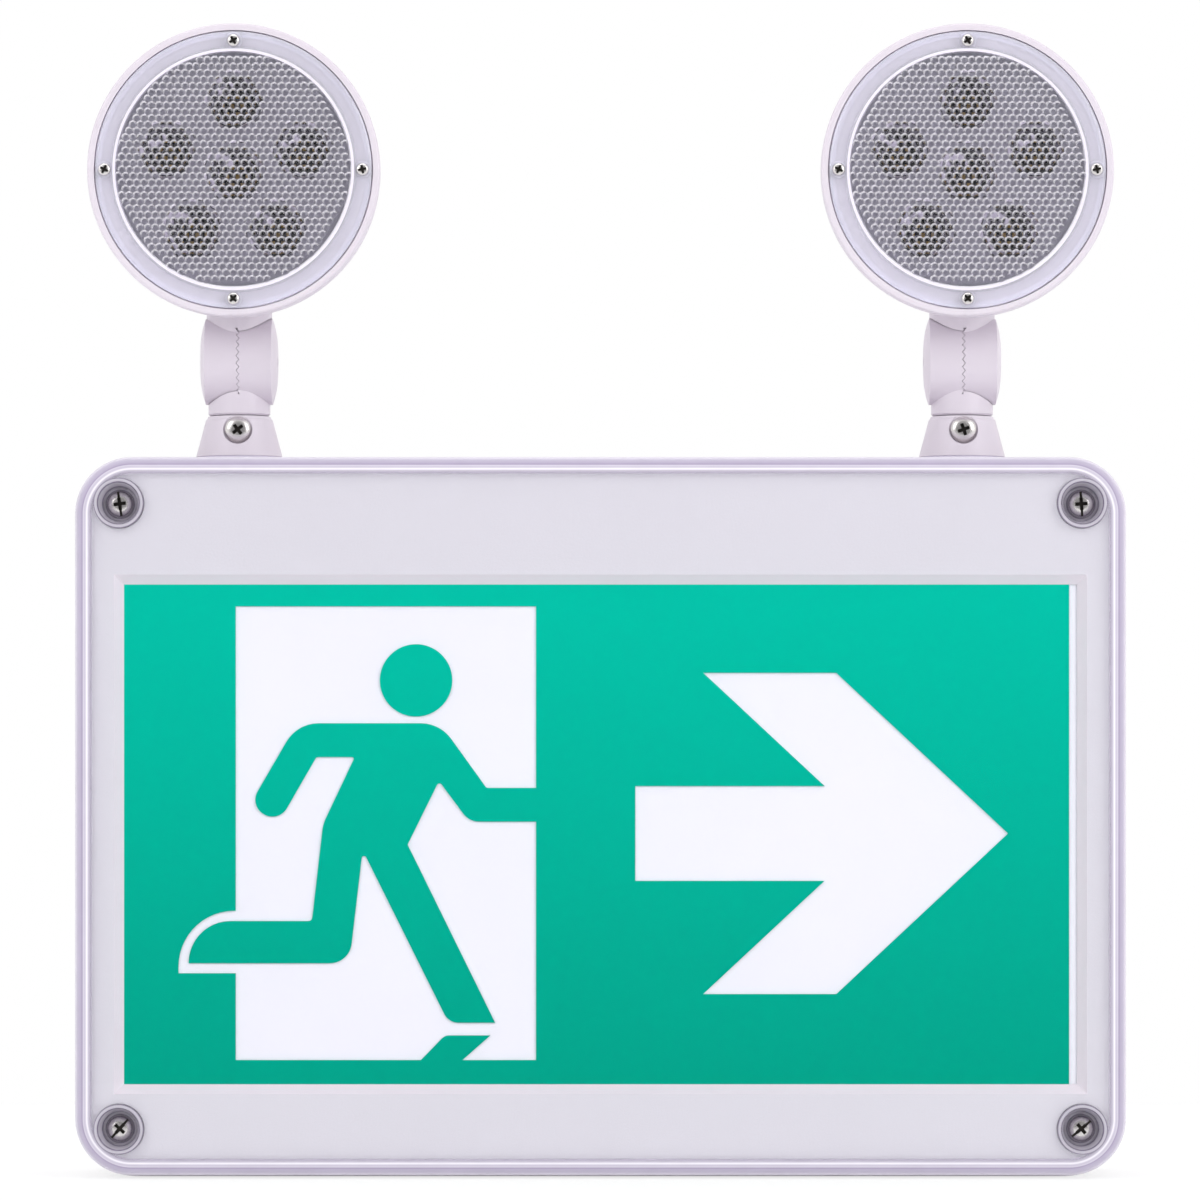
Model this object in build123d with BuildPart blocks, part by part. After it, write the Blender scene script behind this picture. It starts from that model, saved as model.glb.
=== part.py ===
# Emergency exit light: a sealed sign box with two aimable lamp heads on toothed knuckles.
# Millimetres, +Z up. The front faces -Y. The origin is on the wall face, at the wiring entry.
# A depth is a distance in front of the wall, so depth d lies at y = -d.

from build123d import *
from math import pi, sin, cos, radians
import os

os.makedirs("parts", exist_ok=True)

# Sign box
box_width = 350.0
box_height = 240.0
box_depth = 88.0
box_corner = 20.0
cover_depth = 26.0
screw_crown = 0.35
screw_short = 1.0
wall = 3.0
rim_width = 9.0
rim_height = 4.5

# Clear cover and its seal
cover_inset = 1.2
cover_wall = 2.8
cover_front = 3.0
cover_edge = 1.8
seal_gap = 0.3
seal_give = 0.05
groove_inset = 1.6
groove_width = 2.0
groove_depth = 1.6

# Cover screws and the wells that they sit in
screw_inset_x = 15.65
screw_inset_z = 16.45
well_mouth = 7.1
well_floor = 5.4
well_depth = 10.0
well_outer = 8.1
well_base = 2.4
cover_head = 4.5
cover_head_height = 3.0
cover_shank = 2.4
seal_thickness = 0.8
post_radius = 6.4
thread_reach = 14.0
socket_floor = 2.0

# Face panel with its bevelled window
panel_inset = 5.2
panel_gap = 0.4
panel_thickness = 2.4
panel_wall = 2.2
panel_edge = 1.6
socket_bore = 8.45
socket_wall = 1.95
window_side = 17.2
window_above = 43.25
window_below = 31.25
window_bevel = 3.2
slot_wall = 2.0
slot_depth = 4.5

# Legend film, diffuser and the lighting behind them. The legend is drawn for a window of the drawn size.
drawn_width = 315.6
drawn_height = 165.5
film_thickness = 0.5
film_margin = 1.4
unprinted_strip = 2.6
diffuser_thickness = 2.0
diffuser_margin = 3.2
rail_margin = 7.8
rail_thickness = 1.5
rail_foot = 8.0
rail_reach = 13.7
led_board_width = 10.5
led_board_thickness = 1.5
sign_led_count = 12
sign_led_size = 3.5
sign_led_height = 1.1
led_board_margin = 3.0
led_row_margin = 10.0
led_board_gap = 0.5

# Wall side: wiring entry, mounting screws and wall gasket
entry_radius = 11.1
wall_hole_radius = 2.6
wall_hole_inset_x = 35.0
wall_hole_inset_z = 40.0
wall_boss_radius = 6.0
wall_boss_height = 4.0
wall_gasket_radius = 30.0
wall_gasket_width = 4.0
wall_gasket_thickness = 1.5
gusset = 1.8
tub_chamfer = 1.0

# Battery pack and its strap
cell_radius = 11.5
cell_length = 43.0
cell_count = 5
cell_chamfer = 0.8
wrap_dip = 4.0
battery_rise = 26.5
battery_gap = 3.5
strap_width = 14.0
strap_thickness = 1.2
strap_foot = 11.0
strap_boss_height = 6.0

# Charger board and what it carries
board_clear = 55.0
board_side = 30.0
board_gap = 5.5
board_height = 90.0
board_thickness = 1.6
board_hole_inset = 5.0
standoff_radius = 3.5
standoff_height = 8.0
inner_shank = 1.4
inner_shank_length = 6.0
inner_head = 2.75
inner_head_height = 1.8

# Parts on the charger board
core_width = 36.0
core_height = 30.0
core_depth = 10.0
coil_depth = 12.0
coil_width = 30.0
core_cap = 4.0
core_chamfer = 0.6
terminal_ways = 5
terminal_pitch = 7.6
terminal_height = 14.0
terminal_depth = 13.0
terminal_hole = 2.4
terminal_hole_depth = 5.0
relay_size = (24.0, 15.0, 14.0)
relay_place = (0.15, 0.29)
chip_size = (28.0, 9.0, 4.0)
chip_place = (0.15, -0.31)
sink_size = (8.0, 42.0, 16.0)
sink_place = (0.385, -0.045)
capacitor_radius = 6.0
capacitor_length = 20.0
capacitor_pitch = 16.0
capacitor_place = (0.183, -0.045)

# Underside recess with the test switch and the pilot light
pocket_inset = 85.0
pocket_width = 56.0
pocket_length = 26.0
pocket_height = 5.0
pocket_wall = 2.5
pocket_corner = 4.0
control_spacing = 26.0
button_radius = 4.0
button_travel = 2.0
button_show = 2.8
button_round = 0.7
bushing_radius = 6.0
bushing_flange = 7.5
bushing_flange_height = 1.5
bushing_length = 10.0
switch_size = 14.0
switch_corner = 1.5
switch_length = 16.0
switch_nut_height = 3.0
switch_nut_width = 2.5
pilot_radius = 4.0
pilot_flange = 1.2
pilot_flange_height = 1.0
pilot_lens = 3.0
pilot_dome = 2.2
pilot_round = 1.6
pilot_length = 15.0

# Clearances: a turning or sliding fit, a slip fit, a pass fit and a loose fit
running_gap = 0.05
slip_gap = 0.1
pass_gap = 0.2
fit_gap = 0.3

# Lamp arms
arm_inset = 53.5
arm_clearance = 0.8
gasket_thickness = 1.0
collar_base = 14.5
collar_top = 10.55
collar_height = 13.5
collar_shoulder = 0.7
collar_step = 1.2
collar_draft = 0.3
gasket_set = 0.6
spigot_radius = 8.8
spigot_length = 8.0
nut_height = 5.0
nut_corner = 12.7
nut_chamfer = 0.6
stem_radius = 6.0
stem_tail = 4.5
wire_bore = 2.8
clip_height = 1.5
waist_radius = 10.4
waist_edge = 0.6
lock_height = 8.7
lock_head = 4.475
lock_head_height = 2.4
lock_shank = 2.0
lock_crown = 0.6
lock_play = 0.4
lock_recess = 4.9
lock_seat = 10.4
lock_groove = 1.0
clip_mouth = 7.0
clip_grip = 2.0

# Toothed knuckle
knuckle_rise = 33.0
disc_radius = 14.4
disc_flat = 5.5
disc_shoulder = 10.4
disc_shoulder_drop = 0.55
disc_flank = 11.2
disc_half = 12.9
disc_gap = 0.35
tooth_count = 36
tooth_depth = 1.0
tooth_overrun = 1.0
tooth_lead = 0.02
tooth_inner = 9.3
tooth_gap = 0.06
tooth_fill = 0.96
neck_radius = 11.0
knuckle_shank = 2.0
knuckle_head = 3.25
knuckle_head_height = 2.4
knuckle_short = 0.4
knuckle_head_gap = 0.35
knuckle_seat = 9.3
insert_radius = 3.5
insert_length = 6.5
insert_end = 11.0
tip_hole = 1.7

# Lamp head
head_rise = 61.0
head_radius = 48.5
head_reach = 40.5
head_rim = 7.5
bowl_radius = 46.4
bowl_reach = 11.0
bowl_swell_side = 6.0
bowl_swell_back = 5.2
bowl_rim_height = 3.0
bowl_back_radius = 23.0
bowl_wall = 2.5
ledge_bore = 40.5
ledge_drop = 2.5
ledge_height = 5.0
ledge_floor = 0.8
head_round = 0.8
lamp_post_count = 3
lens_seat_radius = 46.2
lens_radius = 45.8
lens_thickness = 2.2
lens_gasket_thickness = 0.6
lens_gasket_width = 1.8
prism_radius = 38.8
prism_rise = 0.6
lens_lip_radius = 40.2
lens_lip_width = 1.2
lens_lip_rise = 0.95
lens_screw_circle = 42.7
lens_screw_head = 2.1
lens_screw_head_height = 1.2
lens_screw_shank = 1.2
lens_screw_length = 6.0
lens_boss = 2.95
lens_boss_rise = 0.4
optic_circle = 23.6
optic_radius = 8.95
ring_optic_count = 5
optic_foot = 4.2
optic_drop = 4.5
optic_rim = 1.2
optic_room = 0.6
optic_gap = 0.2
plate_drop = 0.8
plate_thickness = 1.5
lamp_board_radius = 37.5
lamp_board_drop = 20.5
lamp_board_thickness = 1.6
lamp_post_radius = 3.2
lamp_post_circle = 31.5
lamp_led_size = 3.5
lamp_led_height = 1.6
optic_hollow = 1.3

# Worked out from the sizes above
box_side = box_width / 2
box_top = box_height / 2
housing_depth = box_depth - cover_depth
screw_span_x = box_width - 2 * screw_inset_x
screw_span_z = box_height - 2 * screw_inset_z
window_width = box_width - 2 * window_side
window_height = box_height - window_above - window_below
window_z = (window_below - window_above) / 2
legend_scale = min(window_width / drawn_width, window_height / drawn_height)
rail_length = window_width - 2 * rail_margin
wall_span_x = box_width - 2 * wall_hole_inset_x
wall_span_z = box_height - 2 * wall_hole_inset_z
pack_width = 2 * cell_radius * cell_count
battery_x = -box_side + wall_hole_inset_x + wall_boss_radius + battery_gap + strap_foot + pack_width / 2
battery_z = -box_top + battery_rise + cell_length / 2
board_width = box_side - board_clear
board_x = box_side - board_side - board_width / 2
board_z = battery_z + cell_length / 2 + board_gap + board_height / 2
pocket_x = box_side - pocket_inset
pocket_depth = housing_depth / 2
lamp_x = box_side - arm_inset
arm_depth = housing_depth - rim_height - nut_corner - arm_clearance
head_front = arm_depth + head_reach
bowl_back = arm_depth - bowl_reach
ledge_depth = head_front - ledge_drop
optic_front = head_front - optic_drop
plate_front = optic_front - plate_drop
lamp_board_depth = head_front - lamp_board_drop
panel_front = box_depth - cover_front - panel_gap
panel_back = panel_front - panel_thickness
well_floor_depth = box_depth - well_depth
well_base_back = well_floor_depth - well_base
socket_floor_front = well_base_back
socket_floor_back = socket_floor_front - socket_floor
film_back = panel_back - film_thickness
diffuser_back = film_back - diffuser_thickness
film_left = -window_width / 2 - film_margin
film_right = window_width / 2 - unprinted_strip
film_top = window_z + window_height / 2 + film_margin
film_bottom = window_z - window_height / 2 - film_margin
diffuser_width = window_width + 2 * diffuser_margin
diffuser_height = window_height + 2 * diffuser_margin
slot_width = diffuser_width + 2 * fit_gap
slot_height = diffuser_height + 2 * fit_gap
axis_z = box_top + knuckle_rise
head_z = axis_z + head_rise
collar_bottom = box_top + gasket_thickness
collar_crown = collar_bottom + collar_height
spigot_bottom = box_top - wall - spigot_length
stem_bottom = spigot_bottom - stem_tail
lock_z = collar_bottom + lock_height
pocket_roof = -box_top + pocket_height
roof_top = pocket_roof + wall
button_x = pocket_x - control_spacing / 2
pilot_x = pocket_x + control_spacing / 2
board_back = wall + standoff_height
board_front = board_back + board_thickness


def front_at(depth):
    """Plane that faces the front, at this depth from the wall, with x to the right and y up."""
    return Plane.XZ.offset(depth)


def keep(piece, name):
    """Label a finished piece and write it."""
    piece.part.label = name
    export_step(piece.part, f"parts/{name}.step")


def ring(outer_width, outer_height, outer_corner, width):
    """Rounded rectangular ring in the sketch that is open."""
    RectangleRounded(outer_width, outer_height, outer_corner)
    RectangleRounded(
        outer_width - 2 * width, outer_height - 2 * width, outer_corner - width, mode=Mode.SUBTRACT
    )


def pan_screw(plane, head_radius, head_height, shank_radius, shank_length, crown=screw_crown):
    """Solid of a pan-head screw whose head stands on the plane, with its shank behind it."""
    with BuildPart() as screw:
        with BuildSketch(plane):
            Circle(head_radius)
        extrude(amount=head_height)
        fillet(screw.edges().sort_by(Axis(plane.origin, plane.z_dir))[-1], head_height * crown)
        with BuildSketch(plane):
            Circle(shank_radius)
        extrude(amount=-shank_length)
    return screw.part


# Rear housing: an open tub with a rim for the seal, screw posts, standoffs and the underside recess
groove_outer_w = box_width - 2 * groove_inset
groove_outer_h = box_height - 2 * groove_inset
with BuildPart() as rear_housing:
    with BuildSketch(front_at(0)):
        RectangleRounded(box_width, box_height, box_corner)
    extrude(amount=housing_depth)
    with BuildSketch(front_at(wall)):
        RectangleRounded(box_width - 2 * wall, box_height - 2 * wall, box_corner - wall)
    extrude(amount=housing_depth - rim_height - wall, mode=Mode.SUBTRACT)
    with BuildSketch(front_at(housing_depth - rim_height)):
        RectangleRounded(box_width - 2 * rim_width, box_height - 2 * rim_width, box_corner - rim_width)
    extrude(amount=rim_height, mode=Mode.SUBTRACT)
    with BuildSketch(front_at(housing_depth)):
        ring(groove_outer_w, groove_outer_h, box_corner - groove_inset, groove_width)
    extrude(amount=-groove_depth, mode=Mode.SUBTRACT)
    # Screw posts with gussets to the side walls
    with BuildSketch(front_at(0)):
        with GridLocations(screw_span_x, screw_span_z, 2, 2):
            Circle(post_radius)
    extrude(amount=socket_floor_back)
    with BuildSketch(front_at(0)):
        with GridLocations((screw_span_x + box_width) / 2 - wall, screw_span_z, 2, 2):
            Rectangle((box_width - screw_span_x) / 2 - wall, gusset)
        with GridLocations(screw_span_x, (screw_span_z + box_height) / 2 - wall, 2, 2):
            Rectangle(gusset, (box_height - screw_span_z) / 2 - wall)
    extrude(amount=housing_depth - rim_height)
    with BuildSketch(front_at(socket_floor_back)):
        with GridLocations(screw_span_x, screw_span_z, 2, 2):
            Circle(cover_shank + running_gap)
    extrude(amount=-thread_reach, mode=Mode.SUBTRACT)
    # Standoffs, strap bosses and mounting bosses on the back wall
    with BuildSketch(front_at(wall)):
        with Locations((board_x, board_z)):
            with GridLocations(board_width - 2 * board_hole_inset, board_height - 2 * board_hole_inset, 2, 2):
                Circle(standoff_radius)
    extrude(amount=standoff_height)
    with BuildSketch(front_at(wall)):
        with Locations((battery_x, battery_z)):
            with GridLocations(pack_width + strap_foot, 1, 2, 1):
                Circle(standoff_radius)
    extrude(amount=strap_boss_height)
    with BuildSketch(front_at(wall)):
        with GridLocations(wall_span_x, wall_span_z, 2, 2):
            Circle(wall_boss_radius)
        Circle(entry_radius + wall)
    extrude(amount=wall_boss_height)
    with BuildSketch(front_at(board_back)):
        with Locations((board_x, board_z)):
            with GridLocations(board_width - 2 * board_hole_inset, board_height - 2 * board_hole_inset, 2, 2):
                Circle(inner_shank + running_gap)
    extrude(amount=-inner_shank_length, mode=Mode.SUBTRACT)
    with BuildSketch(front_at(wall + strap_boss_height)):
        with Locations((battery_x, battery_z)):
            with GridLocations(pack_width + strap_foot, 1, 2, 1):
                Circle(inner_shank + running_gap)
    extrude(amount=-inner_shank_length, mode=Mode.SUBTRACT)
    # Holes through the back wall and the seat of the wall gasket
    with BuildSketch(front_at(0)):
        with GridLocations(wall_span_x, wall_span_z, 2, 2):
            Circle(wall_hole_radius)
        Circle(entry_radius)
    extrude(amount=wall + wall_boss_height, mode=Mode.SUBTRACT)
    with BuildSketch(front_at(0)):
        Circle(wall_gasket_radius)
        Circle(wall_gasket_radius - wall_gasket_width, mode=Mode.SUBTRACT)
    extrude(amount=wall_gasket_thickness, mode=Mode.SUBTRACT)
    # Underside recess
    with BuildSketch(Plane.XY.offset(-box_top)):
        with Locations((pocket_x, -pocket_depth)):
            RectangleRounded(
                pocket_width + 2 * pocket_wall, pocket_length + 2 * pocket_wall, pocket_corner + pocket_wall / 2
            )
    extrude(amount=pocket_height + wall)
    with BuildSketch(Plane.XY.offset(-box_top)):
        with Locations((pocket_x, -pocket_depth)):
            RectangleRounded(pocket_width, pocket_length, pocket_corner)
    extrude(amount=pocket_height, mode=Mode.SUBTRACT)
    with BuildSketch(Plane.XY.offset(pocket_roof)):
        with Locations((button_x, -pocket_depth)):
            Circle(bushing_radius + running_gap)
        with Locations((pilot_x, -pocket_depth)):
            Circle(pilot_radius + running_gap)
    extrude(amount=wall, mode=Mode.SUBTRACT)
    # Collar holes in the top wall
    with BuildSketch(Plane.XY.offset(box_top)):
        with Locations((-lamp_x, -arm_depth), (lamp_x, -arm_depth)):
            Circle(spigot_radius + pass_gap)
    extrude(amount=-wall, mode=Mode.SUBTRACT)
    # Softened outer corner of the tub on the wall side
    chamfer(rear_housing.faces().sort_by(Axis.Y)[-1].outer_wire().edges(), tub_chamfer)
keep(rear_housing, "rear_housing")

with BuildPart() as housing_gasket:
    with BuildSketch(front_at(housing_depth - groove_depth)):
        ring(
            groove_outer_w - 2 * slip_gap,
            groove_outer_h - 2 * slip_gap,
            box_corner - groove_inset - slip_gap,
            groove_width - 2 * slip_gap,
        )
    extrude(amount=groove_depth + seal_gap - seal_give)
keep(housing_gasket, "housing_gasket")

with BuildPart() as wall_gasket:
    with BuildSketch(front_at(0)):
        Circle(wall_gasket_radius - slip_gap)
        Circle(wall_gasket_radius - wall_gasket_width + slip_gap, mode=Mode.SUBTRACT)
    extrude(amount=wall_gasket_thickness)
keep(wall_gasket, "wall_gasket")

# Clear cover: a deep tray with four stepped screw wells
cover_width = box_width - 2 * cover_inset
cover_height = box_height - 2 * cover_inset
cover_corner = box_corner - cover_inset
cover_back = housing_depth + seal_gap
cover_cavity = box_depth - cover_front - cover_back
with BuildPart() as clear_cover:
    with BuildSketch(front_at(cover_back)):
        RectangleRounded(cover_width, cover_height, cover_corner)
    extrude(amount=box_depth - cover_back)
    fillet(clear_cover.faces().sort_by(Axis.Y)[0].edges(), cover_edge)
    with BuildSketch(front_at(cover_back)):
        RectangleRounded(cover_width - 2 * cover_wall, cover_height - 2 * cover_wall, cover_corner - cover_wall)
        with GridLocations(screw_span_x, screw_span_z, 2, 2):
            Circle(well_outer, mode=Mode.SUBTRACT)
    extrude(amount=cover_cavity, mode=Mode.SUBTRACT)
    with BuildSketch(front_at(cover_back)):
        with GridLocations(screw_span_x, screw_span_z, 2, 2):
            Circle(well_outer)
    extrude(amount=well_base_back - cover_back, mode=Mode.SUBTRACT)
    # Wells: a tapered bore with a small lip, then the screw hole in their floor
    for x in (-screw_span_x / 2, screw_span_x / 2):
        for z in (-screw_span_z / 2, screw_span_z / 2):
            with BuildSketch(front_at(box_depth)):
                with Locations((x, z)):
                    Circle(well_mouth)
            with BuildSketch(front_at(well_floor_depth)):
                with Locations((x, z)):
                    Circle(well_floor)
            loft(mode=Mode.SUBTRACT)
    with BuildSketch(front_at(well_floor_depth)):
        with GridLocations(screw_span_x, screw_span_z, 2, 2):
            Circle(cover_shank + fit_gap)
    extrude(amount=-well_base, mode=Mode.SUBTRACT)
keep(clear_cover, "clear_cover")

with BuildPart() as cover_screw_seals:
    with BuildSketch(front_at(well_floor_depth)):
        with GridLocations(screw_span_x, screw_span_z, 2, 2):
            Circle(cover_head)
            Circle(cover_shank + slip_gap, mode=Mode.SUBTRACT)
    extrude(amount=seal_thickness)
keep(cover_screw_seals, "cover_screw_seals")

cover_shank_length = well_floor_depth + seal_thickness - socket_floor_back + thread_reach - screw_short
cover_screw = pan_screw(
    front_at(well_floor_depth + seal_thickness), cover_head, cover_head_height, cover_shank, cover_shank_length
)
with BuildPart() as cover_screws:
    for x in (-screw_span_x / 2, screw_span_x / 2):
        for z in (-screw_span_z / 2, screw_span_z / 2):
            add(cover_screw.moved(Location((x, 0, z))))
keep(cover_screws, "cover_screws")

# Face panel: a tray with a bevelled window, screw sockets and a slot for the legend
panel_width = box_width - 2 * panel_inset
panel_height = box_height - 2 * panel_inset
panel_corner = box_corner - panel_inset
with BuildPart() as face_panel:
    with BuildSketch(front_at(housing_depth)):
        RectangleRounded(panel_width, panel_height, panel_corner)
    extrude(amount=panel_front - housing_depth)
    fillet(face_panel.faces().sort_by(Axis.Y)[0].edges(), panel_edge)
    with BuildSketch(front_at(housing_depth)):
        RectangleRounded(panel_width - 2 * panel_wall, panel_height - 2 * panel_wall, panel_corner - panel_wall)
    extrude(amount=socket_floor_back - housing_depth, mode=Mode.SUBTRACT)
    with BuildSketch(front_at(socket_floor_back)):
        RectangleRounded(panel_width - 2 * panel_wall, panel_height - 2 * panel_wall, panel_corner - panel_wall)
        with GridLocations(screw_span_x, screw_span_z, 2, 2):
            Circle(socket_bore + socket_wall, mode=Mode.SUBTRACT)
    extrude(amount=panel_back - socket_floor_back, mode=Mode.SUBTRACT)
    with BuildSketch(front_at(panel_front)):
        with GridLocations(screw_span_x, screw_span_z, 2, 2):
            Circle(socket_bore)
    extrude(amount=socket_floor_front - panel_front, mode=Mode.SUBTRACT)
    with BuildSketch(front_at(socket_floor_front)):
        with GridLocations(screw_span_x, screw_span_z, 2, 2):
            Circle(cover_shank + fit_gap)
    extrude(amount=socket_floor_back - socket_floor_front, mode=Mode.SUBTRACT)
    with BuildSketch(front_at(panel_back)):
        with Locations((0, window_z)):
            Rectangle(slot_width + 2 * slot_wall, slot_height + 2 * slot_wall)
            Rectangle(slot_width, slot_height, mode=Mode.SUBTRACT)
    extrude(amount=-slot_depth)
    with BuildSketch(front_at(panel_front)):
        with Locations((0, window_z)):
            Rectangle(window_width + 2 * window_bevel, window_height + 2 * window_bevel)
    with BuildSketch(front_at(panel_back)):
        with Locations((0, window_z)):
            Rectangle(window_width, window_height)
    loft(mode=Mode.SUBTRACT)
keep(face_panel, "face_panel")

# Legend film: green, open where the sign shows white. Points are measured from the drawn window's centre.
door_width = 99.5
door_height = 150.3
door_x = -71.1
door_z = 0.4
head_disc_radius = 12.0
head_disc = (-61.1, 51.0)
sole_z = -42.7
runner = (
    ((-100.5, 36.8), 12.3),
    ((-116.35, 9.45), 5.5),
    ((-106.65, 3.85), 5.5),
    ((-94.1, 25.6), 1.0),
    ((-81.4, 25.6), 0.6),
    ((-91.9, 3.4), 12.0),
    ((-95.6, -28.7), 1.3),
    ((-136.4, -28.7), 13.8),
    ((-136.4, sole_z), 0),
    ((-83.2, sole_z), 7.2),
    ((-78.8, -5.2), 0.8),
    ((-50.3, -62.4), 5.3),
    ((-34.9, -62.4), 0),
    ((-63.9, -3.4), 0),
    ((-53.5, 17.7), 0.9),
    ((-43.5, 4.2), 6.5),
    ((-15.0, 4.2), 0),
    ((-15.0, 15.4), 0),
    ((-37.8, 15.4), 1.0),
    ((-53.2, 36.8), 12.3),
)
foot_outline = (((-139.8, -25.3), 18.5), ((-139.8, -46.0), 0), ((-110.0, -46.0), 0), ((-110.0, -25.3), 0))
ground = (((-60.7, -76.0), 0), ((-51.6, -66.6), 3.4), ((-36.5, -66.6), 0), ((-47.1, -76.0), 0))
arrow_tail = 11.5
arrow_barb = 34.0
arrow_notch = 74.2
arrow_shoulder = 78.1
arrow_tip = 135.0
arrow_half = 53.2
arrow_shaft = 15.7
arrow_z = 0.3


def outline(corners):
    """Closed face through the corners, each with its own rounding."""
    with BuildSketch() as face:
        with BuildLine():
            FilletPolyline([place for place, _ in corners], radius=[size for _, size in corners], close=True)
        make_face()
    return face.sketch


runner_face = outline(runner)
foot_face = outline(foot_outline)
ground_face = outline(ground)
with BuildSketch() as white_area:
    with Locations((door_x, door_z)):
        Rectangle(door_width, door_height)
    add(foot_face)
    add(runner_face, mode=Mode.SUBTRACT)
    add(ground_face, mode=Mode.SUBTRACT)
    with Locations(head_disc):
        Circle(head_disc_radius, mode=Mode.SUBTRACT)
    with BuildLine():
        Polyline(
            (arrow_tail, arrow_z + arrow_shaft),
            (arrow_notch, arrow_z + arrow_shaft),
            (arrow_barb, arrow_z + arrow_half),
            (arrow_shoulder, arrow_z + arrow_half),
            (arrow_tip, arrow_z),
            (arrow_shoulder, arrow_z - arrow_half),
            (arrow_barb, arrow_z - arrow_half),
            (arrow_notch, arrow_z - arrow_shaft),
            (arrow_tail, arrow_z - arrow_shaft),
            close=True,
        )
    make_face()
film_plane = Plane(origin=(0, -film_back, window_z), x_dir=(1, 0, 0), z_dir=(0, -1, 0))
white_print = scale(white_area.sketch, by=legend_scale)
with BuildPart() as legend_film:
    with BuildSketch(film_plane):
        with Locations(((film_left + film_right) / 2, 0)):
            Rectangle(film_right - film_left, film_top - film_bottom)
        add(white_print, mode=Mode.SUBTRACT)
    extrude(amount=film_thickness)
keep(legend_film, "legend_film")

with BuildPart() as legend_diffuser:
    with BuildSketch(front_at(diffuser_back)):
        with Locations((0, window_z)):
            Rectangle(diffuser_width, diffuser_height)
    extrude(amount=diffuser_thickness)
keep(legend_diffuser, "legend_diffuser")

# Rails above and below the window: each holds the diffuser's edge and carries a row of LEDs
rail_edge = diffuser_height / 2
side_view = Plane.YZ.offset(-rail_length / 2)
with BuildPart() as led_rails:
    for way in (-1, 1):
        edge = window_z + way * rail_edge
        with BuildSketch(side_view):
            with BuildLine():
                Polyline(
                    (-diffuser_back, edge),
                    (-diffuser_back, edge - way * rail_foot),
                    (-diffuser_back + rail_thickness, edge - way * rail_foot),
                    (-diffuser_back + rail_thickness, edge - way * rail_thickness),
                    (-diffuser_back + rail_reach, edge - way * rail_thickness),
                    (-diffuser_back + rail_reach, edge),
                    close=True,
                )
            make_face()
        extrude(amount=rail_length)
keep(led_rails, "led_rails")

led_row_depth = diffuser_back - rail_thickness - led_board_width / 2 - led_board_gap
with BuildPart() as sign_led_boards:
    for way in (-1, 1):
        face = window_z + way * (rail_edge - rail_thickness)
        with BuildSketch(Plane.XY.offset(face)):
            with Locations((0, -led_row_depth)):
                Rectangle(rail_length - 2 * led_board_margin, led_board_width)
        extrude(amount=-way * led_board_thickness)
keep(sign_led_boards, "sign_led_boards")

led_pitch = (rail_length - 2 * led_row_margin) / (sign_led_count - 1)
with BuildPart() as sign_leds:
    for way in (-1, 1):
        face = window_z + way * (rail_edge - rail_thickness - led_board_thickness)
        with BuildSketch(Plane.XY.offset(face)):
            with Locations((0, -led_row_depth)):
                with GridLocations(led_pitch, 1, sign_led_count, 1):
                    Rectangle(sign_led_size, sign_led_size)
        extrude(amount=-way * sign_led_height)
keep(sign_leds, "sign_leds")

# Battery pack: round cells in one wrap, held by a strap
with BuildPart() as battery_pack:
    with BuildSketch(Plane.XY.offset(battery_z - cell_length / 2)):
        with Locations((battery_x, -wall - cell_radius)):
            with GridLocations(2 * cell_radius, 1, cell_count, 1):
                Circle(cell_radius)
            Rectangle(pack_width - 2 * cell_radius, 2 * cell_radius - wrap_dip)
    extrude(amount=cell_length)
    chamfer(battery_pack.faces().filter_by(Axis.Z).edges(), cell_chamfer)
keep(battery_pack, "battery_pack")

strap_low = wall + strap_boss_height
strap_high = wall + 2 * cell_radius + fit_gap
half_pack = pack_width / 2 + fit_gap
strap_end = pack_width / 2 + strap_foot
strap_path = [
    (battery_x - strap_end, -strap_low),
    (battery_x - half_pack, -strap_low),
    (battery_x - half_pack, -strap_high),
    (battery_x + half_pack, -strap_high),
    (battery_x + half_pack, -strap_low),
    (battery_x + strap_end, -strap_low),
]
strap_path += [
    (battery_x + strap_end, -strap_low - strap_thickness),
    (battery_x + half_pack + strap_thickness, -strap_low - strap_thickness),
    (battery_x + half_pack + strap_thickness, -strap_high - strap_thickness),
    (battery_x - half_pack - strap_thickness, -strap_high - strap_thickness),
    (battery_x - half_pack - strap_thickness, -strap_low - strap_thickness),
    (battery_x - strap_end, -strap_low - strap_thickness),
]
with BuildPart() as battery_strap:
    with BuildSketch(Plane.XY.offset(battery_z - strap_width / 2)):
        with BuildLine():
            Polyline(strap_path, close=True)
        make_face()
    extrude(amount=strap_width)
    with BuildSketch(front_at(strap_low)):
        with Locations((battery_x, battery_z)):
            with GridLocations(pack_width + strap_foot, 1, 2, 1):
                Circle(inner_shank + pass_gap)
    extrude(amount=strap_thickness, mode=Mode.SUBTRACT)
keep(battery_strap, "battery_strap")

# Charger board on its standoffs, with the parts that stand on it
with BuildPart() as charger_board:
    with BuildSketch(front_at(board_back)):
        with Locations((board_x, board_z)):
            Rectangle(board_width, board_height)
            with GridLocations(board_width - 2 * board_hole_inset, board_height - 2 * board_hole_inset, 2, 2):
                Circle(inner_shank + pass_gap, mode=Mode.SUBTRACT)
    extrude(amount=board_thickness)
keep(charger_board, "charger_board")

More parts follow.
